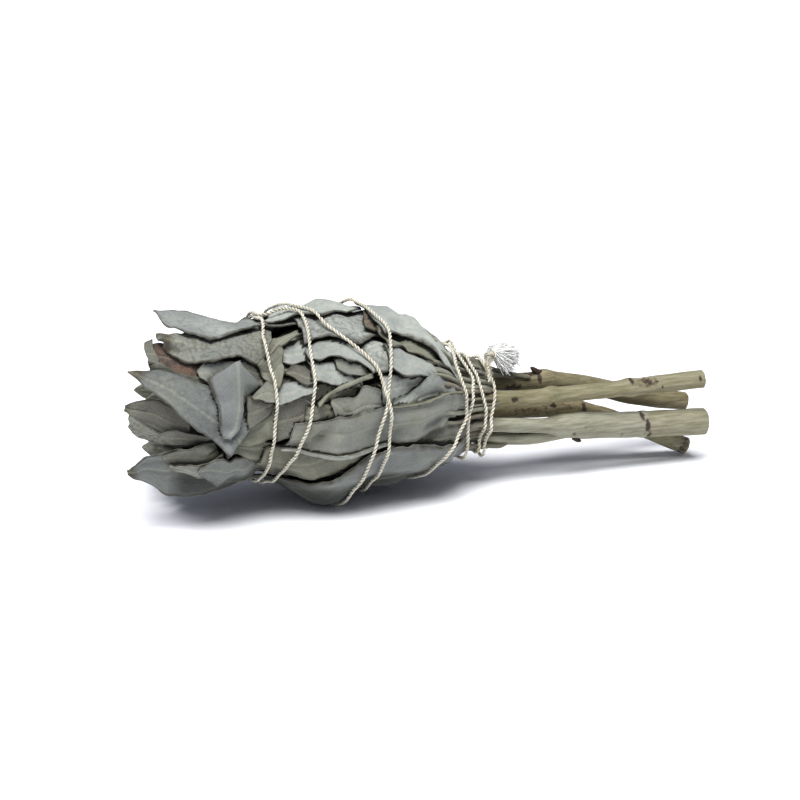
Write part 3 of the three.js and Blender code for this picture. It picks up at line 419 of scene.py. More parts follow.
class Blade:
    """One leaf as a grid of (x, angle, radius), from tip to root and from its low to its high edge."""
    torn = False             # whether the end away from the tip shows as well
    FINE = 0.5               # mm between points
    PETIOLE_FROM = 8         # a leaf with its root past this x narrows to a stalk there
    SINKS_FROM = 0.86        # a leaf without one may sink into what lies below from this share on

    def __init__(self, spec, layers, random):
        self.spec, self.seed = spec, random.uniform()
        self.petiole = spec["root"][0] > self.PETIOLE_FROM
        self.lay_out(random)
        self.bend(random)
        self.lie_on(layers)

    def grid(self, length, wide):
        """The share of the way from tip to root, and the side from -1 to 1, finer near the edges."""
        rows = int(np.clip(length / self.FINE, 16, 100))
        columns = int(np.clip(wide / self.FINE, 9, 31)) | 1
        share, spaced = np.meshgrid(np.linspace(0, 1, rows), np.linspace(-1, 1, columns), indexing="ij")
        return share, np.sign(spaced) * (1 - (1 - np.abs(spaced)) ** 1.25)

    def toothed(self, random, along, side, half_width):
        """By how much the edges swing in and out, as a share of the half width."""
        fine = 0.2 * ripple(random, along, side * 3, 2.4)
        rough = 0.3 * ripple(random, along, side * 3, 5)
        return 1 + np.abs(side) ** 4 * (fine + rough) / np.maximum(half_width, 1)

    def lay_out(self, random):
        """Where each point lies along and round the bundle."""
        spec = self.spec
        (tip_x, tip_a), (root_x, root_a) = spec["tip"], spec["root"]
        middle = float(head_radius((tip_x + root_x) / 2))
        run = np.array([root_x - tip_x, math.radians(root_a - tip_a) * middle])
        length = float(np.hypot(*run))
        run /= length
        share, side = self.grid(length, spec["wide"])
        self.full = outline(share, spec["widest"], spec["point"], self.petiole)
        self.along = share * length
        half = self.full * spec["wide"] / 2 * self.toothed(random, self.along, side, spec["wide"] / 2)
        self.offset = side * half + spec["bow"] * np.sin(np.pi * share)
        self.x = tip_x + (root_x - tip_x) * share - self.offset * run[1]
        around = np.maximum(head_radius(self.x), 8)
        self.angle = tip_a + (root_a - tip_a) * share + np.degrees(self.offset * run[0] / around)
        self.share, self.side = share, side
        self.free = 1 - 0.75 * smooth_step((share - 0.55) / 0.4)

    def bend(self, random):
        """The height at which the leaf would lie by itself, and how far its edges curl off that."""
        spec, share, side = self.spec, self.share, self.side
        edge = np.abs(side)
        breadth = np.clip(self.full * 1.25, 0, 1)
        rolled = np.where(side < 0, *spec["roll"]) * smooth_step((edge - 0.45) / 0.55) ** 1.5
        rolled = rolled * (0.6 + 0.5 * ripple(random, self.along, side * 2, 14))
        shape = (spec["lift"] * (1 - share) ** spec["hook"] * 1.4
                 + (spec["tilt"] * side * 0.6 + spec["cup"] * side ** 2) * breadth
                 + spec["keel"] * (1 - edge) * np.sin(np.pi * np.clip(share * 1.15, 0, 1)) ** 0.7
                 + 0.10 * ripple(random, self.along, self.offset, 3.2)
                 - 0.22 * np.exp(-(side / 0.09) ** 2) * (share > 0.08)
                 - 0.25 * edge ** 2 * (1 - self.free))
        wavy = ripple(random, self.along, self.offset, 9) * (0.3 + 0.9 * edge ** 2)
        self.curl = 0.8 * rolled + 0.25 * edge ** 6 + np.maximum(spec["wave"] * wavy, -0.25)
        self.curl = np.maximum(self.curl * self.free * breadth, 0)
        rested = head_radius(self.x) - BLADE - SETTLING - spec["deep"] + shape
        if not (self.petiole or self.torn):
            sunk = smooth_step((share - 0.82) / 0.18)
            rested = rested * (1 - sunk) + np.minimum(rested, from_table(CORE_RADIUS, self.x) - 1) * sunk
        self.rested = np.maximum(rested, LEAST_RADIUS)

    def lie_on(self, layers):
        """Settles on what lies below and becomes part of it."""
        self.radius = self.settled(layers) + self.curl
        layers.cover(self.dense(self.x), self.dense(self.angle), self.dense(self.radius + BLADE))

    @staticmethod
    def dense(grid):
        """The grid with points added halfway, so that it leaves no cell out."""
        rows = np.empty((2 * grid.shape[0] - 1, grid.shape[1]))
        rows[::2] = grid
        rows[1::2] = (grid[1:] + grid[:-1]) / 2
        whole = np.empty((rows.shape[0], 2 * rows.shape[1] - 1))
        whole[:, ::2] = rows
        whole[:, 1::2] = (rows[:, 1:] + rows[:, :-1]) / 2
        return whole

    def settled(self, layers):
        """Raised to clear what lies below, draped softly over its edges; its root may sink in."""
        below = layers.height(self.x, self.angle)
        least = np.where(below > 0, below + GAP, 0)
        if not (self.petiole or self.torn):
            least = np.where(self.share > self.SINKS_FROM, 0, least)
        short = np.maximum(least - self.rested, 0)
        for _ in range(2):
            padded = np.pad(short, 1, mode="edge")
            short = np.max([padded[i:i + short.shape[0], j:j + short.shape[1]] for i in range(3)
                            for j in range(3)], axis=0)
        raised = self.rested + blur(short, 5)
        return np.maximum(raised, least)

    def owner(self):
        """The stem that the leaf grows from."""
        for name, (low, high) in SECTORS.items():
            if (self.spec["root"][1] - low) % 360 < high - low:
                return name
        return "back_top"


class Sheet(Blade):
    """A leaf that lies flat and broad, or a torn piece of one, given by its two edges."""
    torn = True

    def lay_out(self, random):
        flat = [np.array(line, float) * [1, SHEET_TURN] for line in (self.spec["low"], self.spec["high"])]
        reach = [np.linalg.norm(np.diff(line, axis=0), axis=1).sum() for line in flat]
        wide = np.linalg.norm(flat[0].mean(0) - flat[1].mean(0)) * 1.3
        share, side = self.grid(sum(reach) / 2, wide)
        low, high = (curve_through(line, len(share)) for line in flat)
        half = np.linalg.norm(high - low, axis=1)[:, None] / 2
        self.along = share * sum(reach) / 2
        across = (1 + side * self.toothed(random, self.along, side, half)) / 2
        at = low[:, None] * (1 - across[..., None]) + high[:, None] * across[..., None]
        ragged = 0.35 * ripple(random, side * half, 0 * side, 4) * ((2 * share - 1) ** 6)
        self.x, self.angle = at[..., 0] + ragged, at[..., 1] / SHEET_TURN
        self.share, self.side, self.offset = share, side, side * half
        self.full = np.broadcast_to(half / half.max(), share.shape)
        self.free = np.ones_like(share)


class FoldedBlade(Blade):
    """A leaf folded over on itself, with its fold standing out and its end hanging down."""
    torn = True

    def lay_out(self, random):
        angles, free, fold, other = np.array(FOLDED, float).T
        share = np.linspace(0, 1, 60)
        at = np.interp(share, np.linspace(0, 1, len(angles)), angles)
        lines = [blur(np.interp(at, angles, line)[:, None], 3, (0,))[:, 0] for line in (free, fold, other)]
        # 0 at the free edge, 1 on the fold and 2 at the other edge
        across = np.concatenate([np.linspace(0, 1, FOLD_FACE), np.linspace(1, 2, FOLD_FACE)[1:]])[None, :]
        stations = np.stack(lines, 1)
        self.x = np.where(across < 1, stations[:, [0]] * (1 - across) + stations[:, [1]] * across,
                          stations[:, [1]] * (2 - across) + stations[:, [2]] * (across - 1))
        self.angle = at[:, None] + 1.2 * ripple(random, self.x, at[:, None] / 3, 8)
        self.proud = FOLD_HEIGHT * np.where(across < 1, 0.45 + 0.55 * across ** 1.5, 2 - across)
        self.proud = self.proud * np.sin(np.pi * (0.12 + 0.8 * share[:, None])) ** 0.5
        self.share = np.broadcast_to(0.2 + 0.4 * share[:, None], self.x.shape)
        self.side = np.broadcast_to(across - 1, self.x.shape)
        self.along, self.offset = self.angle / 3, self.x - stations[:, [1]] + 0.7

    def bend(self, random):
        self.rested = head_radius(self.x) - BLADE - SETTLING + self.proud
        self.rested = self.rested + 0.12 * ripple(random, self.x, self.angle / 3, 6)
        self.curl = 0 * self.rested


def blade_of(spec, layers, random):
    """The leaf of a spec, laid on what is there."""
    if spec.get("folded"):
        return FoldedBlade(spec, layers, random)
    if "low" in spec:
        return Sheet(spec, layers, random)
    return Blade(spec, layers, random)


# ---- binding ----
def bound_radius(x, angle):
    """The radius to which the head is drawn in: fuller below, pressed in by the twine, flat where it lies."""
    below = np.maximum(0, np.cos(np.radians(angle - 180)))
    at, more, reach = BELLY
    belly = more * below * np.exp(-((x - at) / reach) ** 2)
    flat = axis_height(x) / np.maximum(below, 0.2) + FLATTENED
    groove = 0 * x
    for middle, low, high, deep, wide in GROOVES:
        inside = np.mod(angle - low, 360) < high - low
        groove = np.maximum(groove, inside * deep * np.exp(-((x - middle) / wide) ** 2))
    flare = np.where(x > FLARE_FROM, 0, FLARE)
    return np.minimum(head_radius(x) + flare + belly - groove, flat)


class Press:
    """The share by which everything at one place moves in when the head is bound."""
    LOW, HIGH, STEP, TURN = -52, 16, 2.0, 8.0       # cells of 2 mm by 8 degrees
    LEAST, MOST = 0.8, 1.15
    RIM = 5                                         # the few highest places in a cell don't count

    def __init__(self, layers):
        xs = np.arange(self.LOW, self.HIGH + 0.1, self.STEP)
        angles = np.arange(0, 360, self.TURN)
        grid_x, grid_a = np.meshgrid(xs, angles, indexing="ij")
        tops = np.stack([layers.height(grid_x + dx, grid_a + da) for dx in (-2, -1, 0, 1, 2)
                         for da in (-6, -3, 0, 3, 6)])
        top = np.sort(tops, axis=0)[-self.RIM]
        raw = np.clip(bound_radius(grid_x, grid_a) / np.maximum(top, 5), self.LEAST, self.MOST)
        wide = np.concatenate([raw[:, -3:], raw, raw[:, :3]], axis=1)
        self.share = blur(wide, 2)[:, 3:-3]

    def __call__(self, x, angle):
        columns, rows = self.share.shape
        column = np.clip((x - self.LOW) / self.STEP, 0, columns - 1.001)
        row = np.mod(angle, 360) / self.TURN
        i, j = column.astype(int), row.astype(int) % rows
        u, v = column - i, row - row.astype(int)
        k = (j + 1) % rows
        near = self.share[i, j] * (1 - v) + self.share[i, k] * v
        far = self.share[i + 1, j] * (1 - v) + self.share[i + 1, k] * v
        return near * (1 - u) + far * u


# ---- meshes ----
class MeshParts:
    """Vertices, faces and vertex attributes gathered from many surfaces into one mesh."""

    def __init__(self):
        self.points, self.faces, self.count = [], [], 0
        self.attributes = {}

    def add(self, points, *faces, **attributes):
        """Takes one surface: its points in metres, one or more lists of faces over them, and a value or a
        list of values of each attribute."""
        points = points.reshape(-1, 3)
        self.points.append(points)
        self.faces.extend(group + self.count for group in faces)
        self.count += len(points)
        for name, values in attributes.items():
            shape = (len(points),) + np.shape(values)[1:]
            values = np.broadcast_to(values, shape)
            self.attributes.setdefault(name, []).append(np.array(values, float))

    def build(self, name, material):
        """The piece made of all that was added."""
        mesh = bpy.data.meshes.new(name)
        points = np.concatenate(self.points)
        faces = [tuple(face) for group in self.faces for face in group.tolist()]
        mesh.from_pydata(points.tolist(), [], faces)
        for key, groups in self.attributes.items():
            values = np.concatenate(groups)
            kind, field = ("FLOAT", "value") if values.ndim == 1 else ("FLOAT_VECTOR", "vector")
            layer = mesh.attributes.new(key, kind, "POINT")
            layer.data.foreach_set(field, values.ravel().astype(np.float32))
        mesh.polygons.foreach_set("use_smooth", np.ones(len(mesh.polygons), bool))
        mesh.materials.append(material)
        mesh.validate()
        piece = bpy.data.objects.new(name, mesh)
        bpy.context.scene.collection.objects.link(piece)
        return piece


def grid_faces(rows, columns, start=0, flip=False):
    """The faces of a grid of points."""
    i, j = np.meshgrid(np.arange(rows - 1), np.arange(columns - 1), indexing="ij")
    corner = (start + i * columns + j).ravel()
    order = [corner, corner + 1, corner + columns + 1, corner + columns]
    return np.stack(order[::-1] if flip else order, 1)


def slab_faces(rows, columns):
    """Both faces of a blade and the rim between them. The under side comes first in the vertices."""
    under, over = grid_faces(rows, columns, 0), grid_faces(rows, columns, rows * columns, True)
    index = np.arange(rows * columns).reshape(rows, columns)
    ring = np.concatenate([index[0, :-1], index[:-1, -1], index[-1, :0:-1], index[:0:-1, 0]])
    following = np.roll(ring, -1)
    shift = rows * columns
    rim = np.stack([ring, ring + shift, following + shift, following], 1)
    return np.concatenate([under, over, rim])


COVERED_BY = 0.6         # a leaf takes its full painted shade with this much over it, in mm
OPEN_END_SHADE = 0.3     # less painted shade among the free tips of the open end


def cavity_of(blade, radius, tops):
    """How deep each place of a leaf lies, from 0 to 1, as painted shade: under other leaves, or beneath the
    whole head.
    """
    own = Layers()
    own.cover(blade.dense(blade.x), blade.dense(blade.angle), blade.dense(radius + BLADE), 0)
    # painted shade where other leaves lie over this one, less of it among the free tips
    above = tops.height(blade.x, blade.angle) - own.height(blade.x, blade.angle)
    enclosed = OPEN_END_SHADE + (1 - OPEN_END_SHADE) * smooth_step((blade.x + 59) / 9)
    from_bottom = np.abs(blade.angle % 360 - 180)
    # painted shade beneath the head, darker towards the bottom, none at the free tips of the open end
    low = 0.85 * smooth_step((58 - from_bottom) / 22) * smooth_step((blade.x + 64) / 8)
    return np.maximum(np.clip(above / COVERED_BY, 0, 1) * enclosed, low)


def margin_of(blade):
    """How near each place of a leaf is to its edge, 1 on the edge."""
    ends = np.clip(1 - blade.share * 30, 0, 1)
    if blade.torn:
        ends = np.maximum(ends, np.clip(1 - (1 - blade.share) * 30, 0, 1))
    return np.maximum(np.abs(blade.side), ends)


def add_blade(parts, blade, press, tops):
    """A leaf as a thin slab: first all points of its under side, then all of its upper one."""
    rows, columns = blade.x.shape
    radius = blade.radius * press(blade.x, blade.angle)
    sides = [above_floor(place(blade.x, blade.angle, at).reshape(-1, 3)) for at in (radius, radius + BLADE)]
    local = np.stack([blade.along, blade.offset, 0 * blade.along], -1).reshape(-1, 3)
    local = local + [0, 0, blade.seed * 10]
    burnt = blade.spec["burnt"] * np.clip(1 - blade.share / 0.16, 0, 1)
    parts.add(
        np.concatenate(sides), slab_faces(rows, columns),
        leaf=np.concatenate([local, local]), margin=np.tile(margin_of(blade).ravel(), 2),
        tone=TONES[blade.spec["tone"]] + 0.05 * (blade.seed - 0.5), pebble=blade.spec["pebble"],
        burnt=np.tile(burnt.ravel(), 2), under=np.repeat([1.0, 0.0], rows * columns),
        cavity=np.tile(cavity_of(blade, radius, tops).ravel(), 2))


# ---- materials ----
class Nodes:
    """A material, with short ways to make and join its shader nodes."""

    def __init__(self, name):
        self.material = bpy.data.materials.new(name)
        self.material.use_nodes = True
        self.tree = self.material.node_tree
        self.shader = self.tree.nodes["Principled BSDF"]

    def new(self, kind, inputs=None, **settings):
        """A node with its inputs joined or set."""
        node = self.tree.nodes.new(kind)
        for key, value in settings.items():
            setattr(node, key, value)
        for key, value in (inputs or {}).items():
            self.put(node.inputs[key], value)
        return node

    def put(self, socket, value):
        if isinstance(value, bpy.types.NodeSocket):
            self.tree.links.new(value, socket)
        else:
            socket.default_value = value

    def attribute(self, name, output="Fac"):
        return self.new("ShaderNodeAttribute", attribute_name=name).outputs[output]

    def where(self):
        """The place on the object, in metres."""
        return self.new("ShaderNodeTexCoord").outputs["Object"]

    def math(self, operation, a, b=0.0):
        return self.new("ShaderNodeMath", {0: a, 1: b}, operation=operation).outputs[0]

    def plus(self, a, b):
        return self.math("ADD", a, b)

    def times(self, a, b):
        return self.math("MULTIPLY", a, b)

    def mix(self, share, a, b):
        """The colour a, gone over to b by the share."""
        node = self.new("ShaderNodeMix", data_type="RGBA", blend_type="MIX")
        self.put(node.inputs[0], share)
        self.put(node.inputs[6], a)
        self.put(node.inputs[7], b)
        return node.outputs[2]

    def noise(self, vector, scale, detail=3.0, roughness=0.55):
        inputs = {"Vector": vector, "Scale": scale, "Detail": detail, "Roughness": roughness}
        return self.new("ShaderNodeTexNoise", inputs).outputs["Fac"]

    def ramp(self, value, stops):
        """The colour at the value, from stops of (place, colour)."""
        node = self.new("ShaderNodeValToRGB", {"Fac": value})
        elements = node.color_ramp.elements
        while len(elements) < len(stops):
            elements.new(0.5)
        for element, (position, colour) in zip(elements, stops):
            element.position = position
            element.color = colour
        return node.outputs["Color"]

    def range(self, value, low, high, to_low=0.0, to_high=1.0):
        """The value moved from the range low to high into another, and kept in it."""
        inputs = {"Value": value, "From Min": low, "From Max": high, "To Min": to_low, "To Max": to_high}
        return self.new("ShaderNodeMapRange", inputs, clamp=True).outputs[0]

    def scaled(self, vector, scale):
        return self.new("ShaderNodeVectorMath", {0: vector, 1: scale}, operation="MULTIPLY").outputs[0]

    def bump(self, height, distance, strength=1.0, normal=None):
        inputs = {"Height": height, "Distance": distance, "Strength": strength}
        if normal is not None:
            inputs["Normal"] = normal
        return self.new("ShaderNodeBump", inputs).outputs[0]

    def finish(self, **inputs):
        """Sets the shader's own inputs, with _ for each space in their names."""
        for key, value in inputs.items():
            self.put(self.shader.inputs[key.replace("_", " ")], value)
        return self.material


def srgb(*colour):
    """A display colour of three values from 0 to 255, as scene-linear values."""
    linear = [((c / 255 + 0.055) / 1.055) ** 2.4 if c > 10 else c / 255 / 12.92 for c in colour]
    return (*linear, 1.0)


def leaf_colour(nodes, where, cloudy, felt):
    """Grey-green by the leaf's tone, speckled, with painted shade deep in the head and beneath it, with worn
    edges and burnt tips.
    """
    tone = nodes.attribute("tone")
    uneven = nodes.math("SUBTRACT", cloudy, 0.5)
    colour = nodes.ramp(nodes.plus(tone, nodes.times(uneven, 0.4)), [
        (0.0, srgb(104, 76, 58)), (0.12, srgb(104, 94, 82)), (0.22, srgb(104, 103, 94)),
        (0.38, srgb(128, 127, 110)), (0.53, srgb(132, 133, 124)), (0.63, srgb(113, 116, 113)),
        (0.71, srgb(128, 130, 129)), (0.95, srgb(180, 183, 174))])
    speckle = nodes.noise(where, 900, 3, 0.6)
    colour = nodes.mix(nodes.range(speckle, 0.56, 0.72, 0, 0.35), colour, srgb(110, 106, 88))
    mottled = nodes.range(nodes.noise(where, 420, 4, 0.7), 0.4, 0.58, 0, 0.85)
    only_rust = nodes.range(tone, 0.04, 0.03)
    colour = nodes.mix(nodes.times(only_rust, mottled), colour, srgb(58, 44, 38))
    colour = nodes.mix(nodes.range(felt, 0.35, 0.65, 0, 0.18), colour, srgb(190, 192, 188))
    # painted shade: near black where other leaves lie over the leaf and beneath the head
    colour = nodes.mix(nodes.range(nodes.attribute("cavity"), 0.35, 0.95, 0, 0.92), colour, srgb(22, 19, 15))
    chipped = nodes.range(nodes.noise(where, 420, 3), 0.35, 0.6, 0.35, 1)
    worn = nodes.times(nodes.range(nodes.attribute("margin"), 0.84, 0.97), chipped)
    colour = nodes.mix(nodes.times(worn, 0.85), colour, srgb(66, 58, 46))
    burnt = nodes.range(nodes.plus(nodes.attribute("burnt"), nodes.times(uneven, 0.8)), 0.2, 0.6)
    colour = nodes.mix(nodes.times(burnt, 0.8), colour, srgb(78, 68, 54))
    return nodes.mix(nodes.times(nodes.attribute("under"), 0.35), colour, srgb(150, 150, 134))


def leaf_material():
    """Felted sage leaf with a pale midrib, slanting side veins and a pebbled net between them."""
    nodes = Nodes("sage_leaf")
    where = nodes.where()
    cloudy = nodes.noise(where, 90, 4, 0.6)
    felt = nodes.noise(where, 5200, 2, 0.6)
    colour = leaf_colour(nodes, where, cloudy, felt)

    local = nodes.attribute("leaf", "Vector")     # mm along the leaf from its tip, and across from its rib
    split = nodes.new("ShaderNodeSeparateXYZ", {0: local})
    from_rib = nodes.math("ABSOLUTE", split.outputs["Y"])
    rib = nodes.range(from_rib, 0.12, 0.5, 1, 0)
    slanting = nodes.plus(split.outputs["X"], nodes.times(from_rib, -0.9))
    veins = nodes.math("SINE", nodes.times(nodes.plus(slanting, nodes.times(cloudy, 3.0)), 1.9))
    colour = nodes.mix(nodes.times(rib, 0.2), colour, srgb(180, 178, 156))
    net = nodes.new("ShaderNodeTexVoronoi", {"Vector": where, "Scale": 1150.0, "Smoothness": 0.4},
                    feature="SMOOTH_F1").outputs["Distance"]
    pebbled = nodes.attribute("pebble")
    in_net = nodes.times(nodes.range(net, 0.45, 0.75), nodes.times(pebbled, 0.45))
    colour = nodes.mix(in_net, colour, srgb(86, 84, 70))

    pebbles = nodes.times(nodes.math("SUBTRACT", 1.0, net), pebbled)
    creases = nodes.noise(nodes.scaled(local, (0.12, 0.5, 1.0)), 1.6, 4, 0.6)
    height = nodes.plus(nodes.times(pebbles, 0.5), nodes.times(creases, 0.5))
    height = nodes.plus(height, nodes.times(nodes.range(veins, 0.82, 1.0), -0.1))
    height = nodes.plus(height, nodes.times(rib, 0.25))
    face = nodes.bump(height, 0.00045, 0.7)
    return nodes.finish(
        Base_Color=colour, Roughness=0.92, Specular_IOR_Level=0.18, Sheen_Weight=0.35, Sheen_Roughness=0.6,
        Sheen_Tint=srgb(225, 230, 220), Normal=nodes.bump(felt, 0.00008, 0.5, face))


def core_material():
    """Dark crumpled leaf."""
    nodes = Nodes("inner_leaves")
    cloudy = nodes.noise(nodes.where(), 260, 5, 0.65)
    colour = nodes.ramp(cloudy, [(0.3, srgb(48, 44, 34)), (0.5, srgb(84, 80, 62)), (0.7, srgb(118, 116, 98))])
    return nodes.finish(Base_Color=colour, Roughness=0.95, Normal=nodes.bump(cloudy, 0.001, 0.8),
                        Specular_IOR_Level=0.1)


def stem_material():
    """Dry bark, greyer for a high tone and browner for a low one, with dark scars and pith in the cuts."""
    nodes = Nodes("sage_stem")
    where = nodes.where()
    streaks = nodes.noise(nodes.scaled(where, (0.12, 1.0, 1.0)), 1500, 4, 0.6)
    fine = nodes.noise(where, 2600, 3, 0.6)
    colour = nodes.ramp(streaks, [
        (0.3, srgb(118, 109, 84)), (0.5, srgb(140, 133, 107)), (0.68, srgb(156, 151, 127))])
    greenish = nodes.range(nodes.noise(where, 160, 4, 0.6), 0.5, 0.68, 0, 0.5)
    colour = nodes.mix(greenish, colour, srgb(132, 132, 104))
    tone = nodes.attribute("tone")
    grey = nodes.ramp(streaks, [
        (0.3, srgb(134, 133, 118)), (0.5, srgb(154, 154, 140)), (0.7, srgb(168, 169, 155))])
    colour = nodes.mix(nodes.range(tone, 0.5, 1.0, 0, 0.75), colour, grey)
    brown = nodes.ramp(streaks, [
        (0.3, srgb(92, 84, 66)), (0.5, srgb(118, 108, 84)), (0.7, srgb(138, 128, 98))])
    colour = nodes.mix(nodes.range(tone, 0.5, 0.0, 0, 0.7), colour, brown)
    uneven = nodes.range(nodes.noise(where, 800, 4, 0.7), 0.3, 0.7, -0.35, 0.35)
    scar = nodes.range(nodes.plus(nodes.attribute("mark"), uneven), 0.3, 0.66, 0, 0.88)
    colour = nodes.mix(scar, colour, srgb(62, 45, 40))
    pith = nodes.ramp(nodes.attribute("pith"), [
        (0.0, srgb(206, 196, 160)), (0.4, srgb(188, 176, 134)), (0.62, srgb(150, 134, 92)),
        (0.86, srgb(172, 160, 118)), (1.0, srgb(110, 96, 66))])
    pith = nodes.mix(nodes.range(fine, 0.45, 0.7, 0, 0.4), pith, srgb(128, 112, 76))
    colour = nodes.mix(nodes.attribute("cut"), colour, pith)
    height = nodes.plus(nodes.times(streaks, 0.7), nodes.times(fine, 0.3))
    return nodes.finish(Base_Color=colour, Roughness=0.62, Normal=nodes.bump(height, 0.00025, 0.6),
                        Specular_IOR_Level=0.3)


def twine_material():
    """Unbleached cotton, browner in places, with painted shade between the plies."""
    nodes = Nodes("cotton_twine")
    where = nodes.where()
    fibres = nodes.noise(where, 4200, 3, 0.7)
    colour = nodes.ramp(fibres, [
        (0.32, srgb(178, 171, 150)), (0.5, srgb(222, 218, 203)), (0.68, srgb(240, 238, 228))])
    soiled = nodes.range(nodes.noise(where, 150, 3, 0.5), 0.52, 0.7, 0, 0.3)
    colour = nodes.mix(soiled, colour, srgb(190, 176, 142))
    # painted shade between the plies
    colour = nodes.mix(nodes.times(nodes.attribute("valley"), 0.6), colour, srgb(120, 106, 80))
    return nodes.finish(Base_Color=colour, Roughness=0.9, Normal=nodes.bump(fibres, 0.00015, 0.6),
                        Specular_IOR_Level=0.2, Sheen_Weight=0.3)


def tuft_material():
    """Clean white cotton fibre."""
    nodes = Nodes("frayed_cotton")
    fibres = nodes.noise(nodes.where(), 3000, 2, 0.6)
    colour = nodes.ramp(fibres, [(0.35, srgb(214, 214, 208)), (0.65, srgb(240, 240, 236))])
    return nodes.finish(Base_Color=colour, Roughness=0.9, Specular_IOR_Level=0.2, Sheen_Weight=0.3)


# ---- stems ----
# Each stem is one limb, or one and a branch of it.
# path: centre points (x, y, height), from inside the head to the cut end.
# radius: (share of the length, radius).
# marks: dark nodes and scars, each (share of the length, half length, strength, angle, half angle),
# with the angle 0 towards the camera and -90 on top.
STEMS = {
    "front_top": [dict(
        path=[(-12, -5.6, 24.9), (5, -5.5, 22.0), (18.2, -6, 20.0), (33, -6, 19.4), (50, -6, 19.3),
              (69.8, -6, 19.5)],
        radius=[(0, 1.8), (0.51, 1.85), (0.534, 2.3), (0.56, 1.9), (0.74, 1.9), (0.774, 2.35), (0.8, 2.05),
                (1, 2.15)],
        marks=[(0.415, 0.011, 1.0, -5, 30), (0.534, 0.006, 1.0, 62, 36), (0.534, 0.003, 0.5, -20, 60),
               (0.774, 0.006, 1.0, -62, 34), (0.826, 0.03, 0.7, -48, 44), (0.865, 0.004, 1.0, 5, 14),
               (0.93, 0.004, 0.4, -50, 20), (0.985, 0.005, 1.0, -20, 26)])],
    "front_low": [dict(
        path=[(-12, -5.7, 17.8), (5, -6.0, 16.2), (20, -7, 13.9), (34, -6.6, 12.1), (41, -6, 11.3),
              (54, -6, 10.1), (70.6, -6, 9.0)],
        radius=[(0, 1.5), (0.5, 1.65), (0.57, 2.8), (0.62, 3.15), (0.68, 3.0), (0.79, 3.0), (0.81, 3.2),
                (0.83, 3.05), (1, 3.15)],
        marks=[(0.798, 0.007, 1.0, -64, 36), (0.81, 0.008, 0.9, -8, 40), (0.82, 0.008, 0.7, 42, 34),
               (0.614, 0.004, 1.0, -5, 9), (0.602, 0.01, 1.0, 84, 22), (0.735, 0.012, 0.35, 30, 24),
               (0.585, 0.008, 0.8, 30, 16)]),
        dict(path=[(-8, -3.2, 15.0), (5, -4.3, 12.9), (17.5, -5.2, 10.5), (29, -5.9, 9.8), (37, -6, 10.6)],
             radius=[(0, 1.2), (0.5, 1.45), (0.8, 1.5), (1, 1.5)],
             marks=[(0.42, 0.03, 0.8, -60, 24), (0.78, 0.14, 0.75, -78, 20), (0.2, 0.03, 0.7, 70, 40)])],
    "back_low": [dict(
        path=[(-12, 4.2, 17.4), (5, 2.2, 15.8), (21.4, 0.3, 14.9), (41.5, 1, 12.9), (55, 1, 7.9),
              (68.8, -0.6, 1.5)],
        radius=[(0, 1.8), (0.6, 1.9), (0.64, 2.4), (0.69, 1.95), (1, 2.0)],
        marks=[(0.65, 0.008, 1.0, -20, 70), (0.5, 0.2, 0.3, 0, 180), (0.985, 0.015, 0.6, 0, 180)])],
    "back_top": [dict(
        path=[(-12, 3.6, 26.6), (5, 3.4, 23.6), (25, 3, 20.9), (33, 3.5, 20.3), (41, 4, 18.8), (49, 5, 16.4),
              (58, 6, 13.3), (71.5, 6.2, 10.4)],
        radius=[(0, 2.0), (0.5, 2.05), (0.54, 2.6), (0.58, 2.15), (1, 2.15)],
        marks=[(0.48, 0.03, 1.0, -66, 24), (0.516, 0.006, 0.9, -30, 60), (0.7, 0.01, 0.3, -60, 30),
               (0.44, 0.03, 0.8, 30, 40)])],
}
# How grey each stem is along its length: (x, tone).
STEM_TONES = {
    "front_top": [(20, 0.5), (60, 0.62)],
    "front_low": [(54.5, 1.0), (56, 0.76)],
    "back_low": [(36, 0.1), (58, 0.66)],
    "back_top": [(34, 0.4), (60, 0.16)],
}
# A small bud or broken twig on each stem: from, to, radius.
BUDS = {
    "front_top": ((31.2, -6.6, 17.6), (32.6, -7.0, 17.0), 0.5),
    "front_low": ((36.8, -7.2, 9.1), (38.6, -7.7, 8.2), 0.6),
    "back_low": ((41, 2.4, 13.4), (44.0, 4.0, 13.2), 0.8),
    "back_top": ((33, 3.2, 21.8), (30.0, 2.6, 24.0), 0.8),
}


def curve_through(points, count):
    """Evenly spaced points on a centripetal Catmull-Rom curve through the given points."""
    points = np.array(points, float)
    padded = np.concatenate([[2 * points[0] - points[1]], points, [2 * points[-1] - points[-2]]])
    pieces = []
    for p0, p1, p2, p3 in zip(padded, padded[1:], padded[2:], padded[3:]):
        knots = np.concatenate([[0], np.cumsum([np.linalg.norm(b - a) ** 0.5 + 1e-9 for a, b in
                                                ((p0, p1), (p1, p2), (p2, p3))])])
        t = np.linspace(knots[1], knots[2], 60, endpoint=False)[:, None]
        firsts = [between(t, knots[k], knots[k + 1], a, b) for k, (a, b) in
                  enumerate(((p0, p1), (p1, p2), (p2, p3)))]
        seconds = [between(t, knots[k], knots[k + 2], firsts[k], firsts[k + 1]) for k in (0, 1)]
        pieces.append(between(t, knots[1], knots[2], *seconds))
    dense = np.concatenate(pieces + [points[-1:]])
    return resampled(dense, count)


def between(t, start, end, first, last):
    """The point at t on the line that is at first for start and at last for end."""
    return (end - t) / (end - start) * first + (t - start) / (end - start) * last


def resampled(points, count):
    """So many evenly spaced points along a run of points."""
    travelled = np.concatenate([[0], np.cumsum(np.linalg.norm(np.diff(points, axis=0), axis=1))])
    at = np.linspace(0, travelled[-1], count)
    return np.stack([np.interp(at, travelled, points[:, k]) for k in range(points.shape[1])], 1)


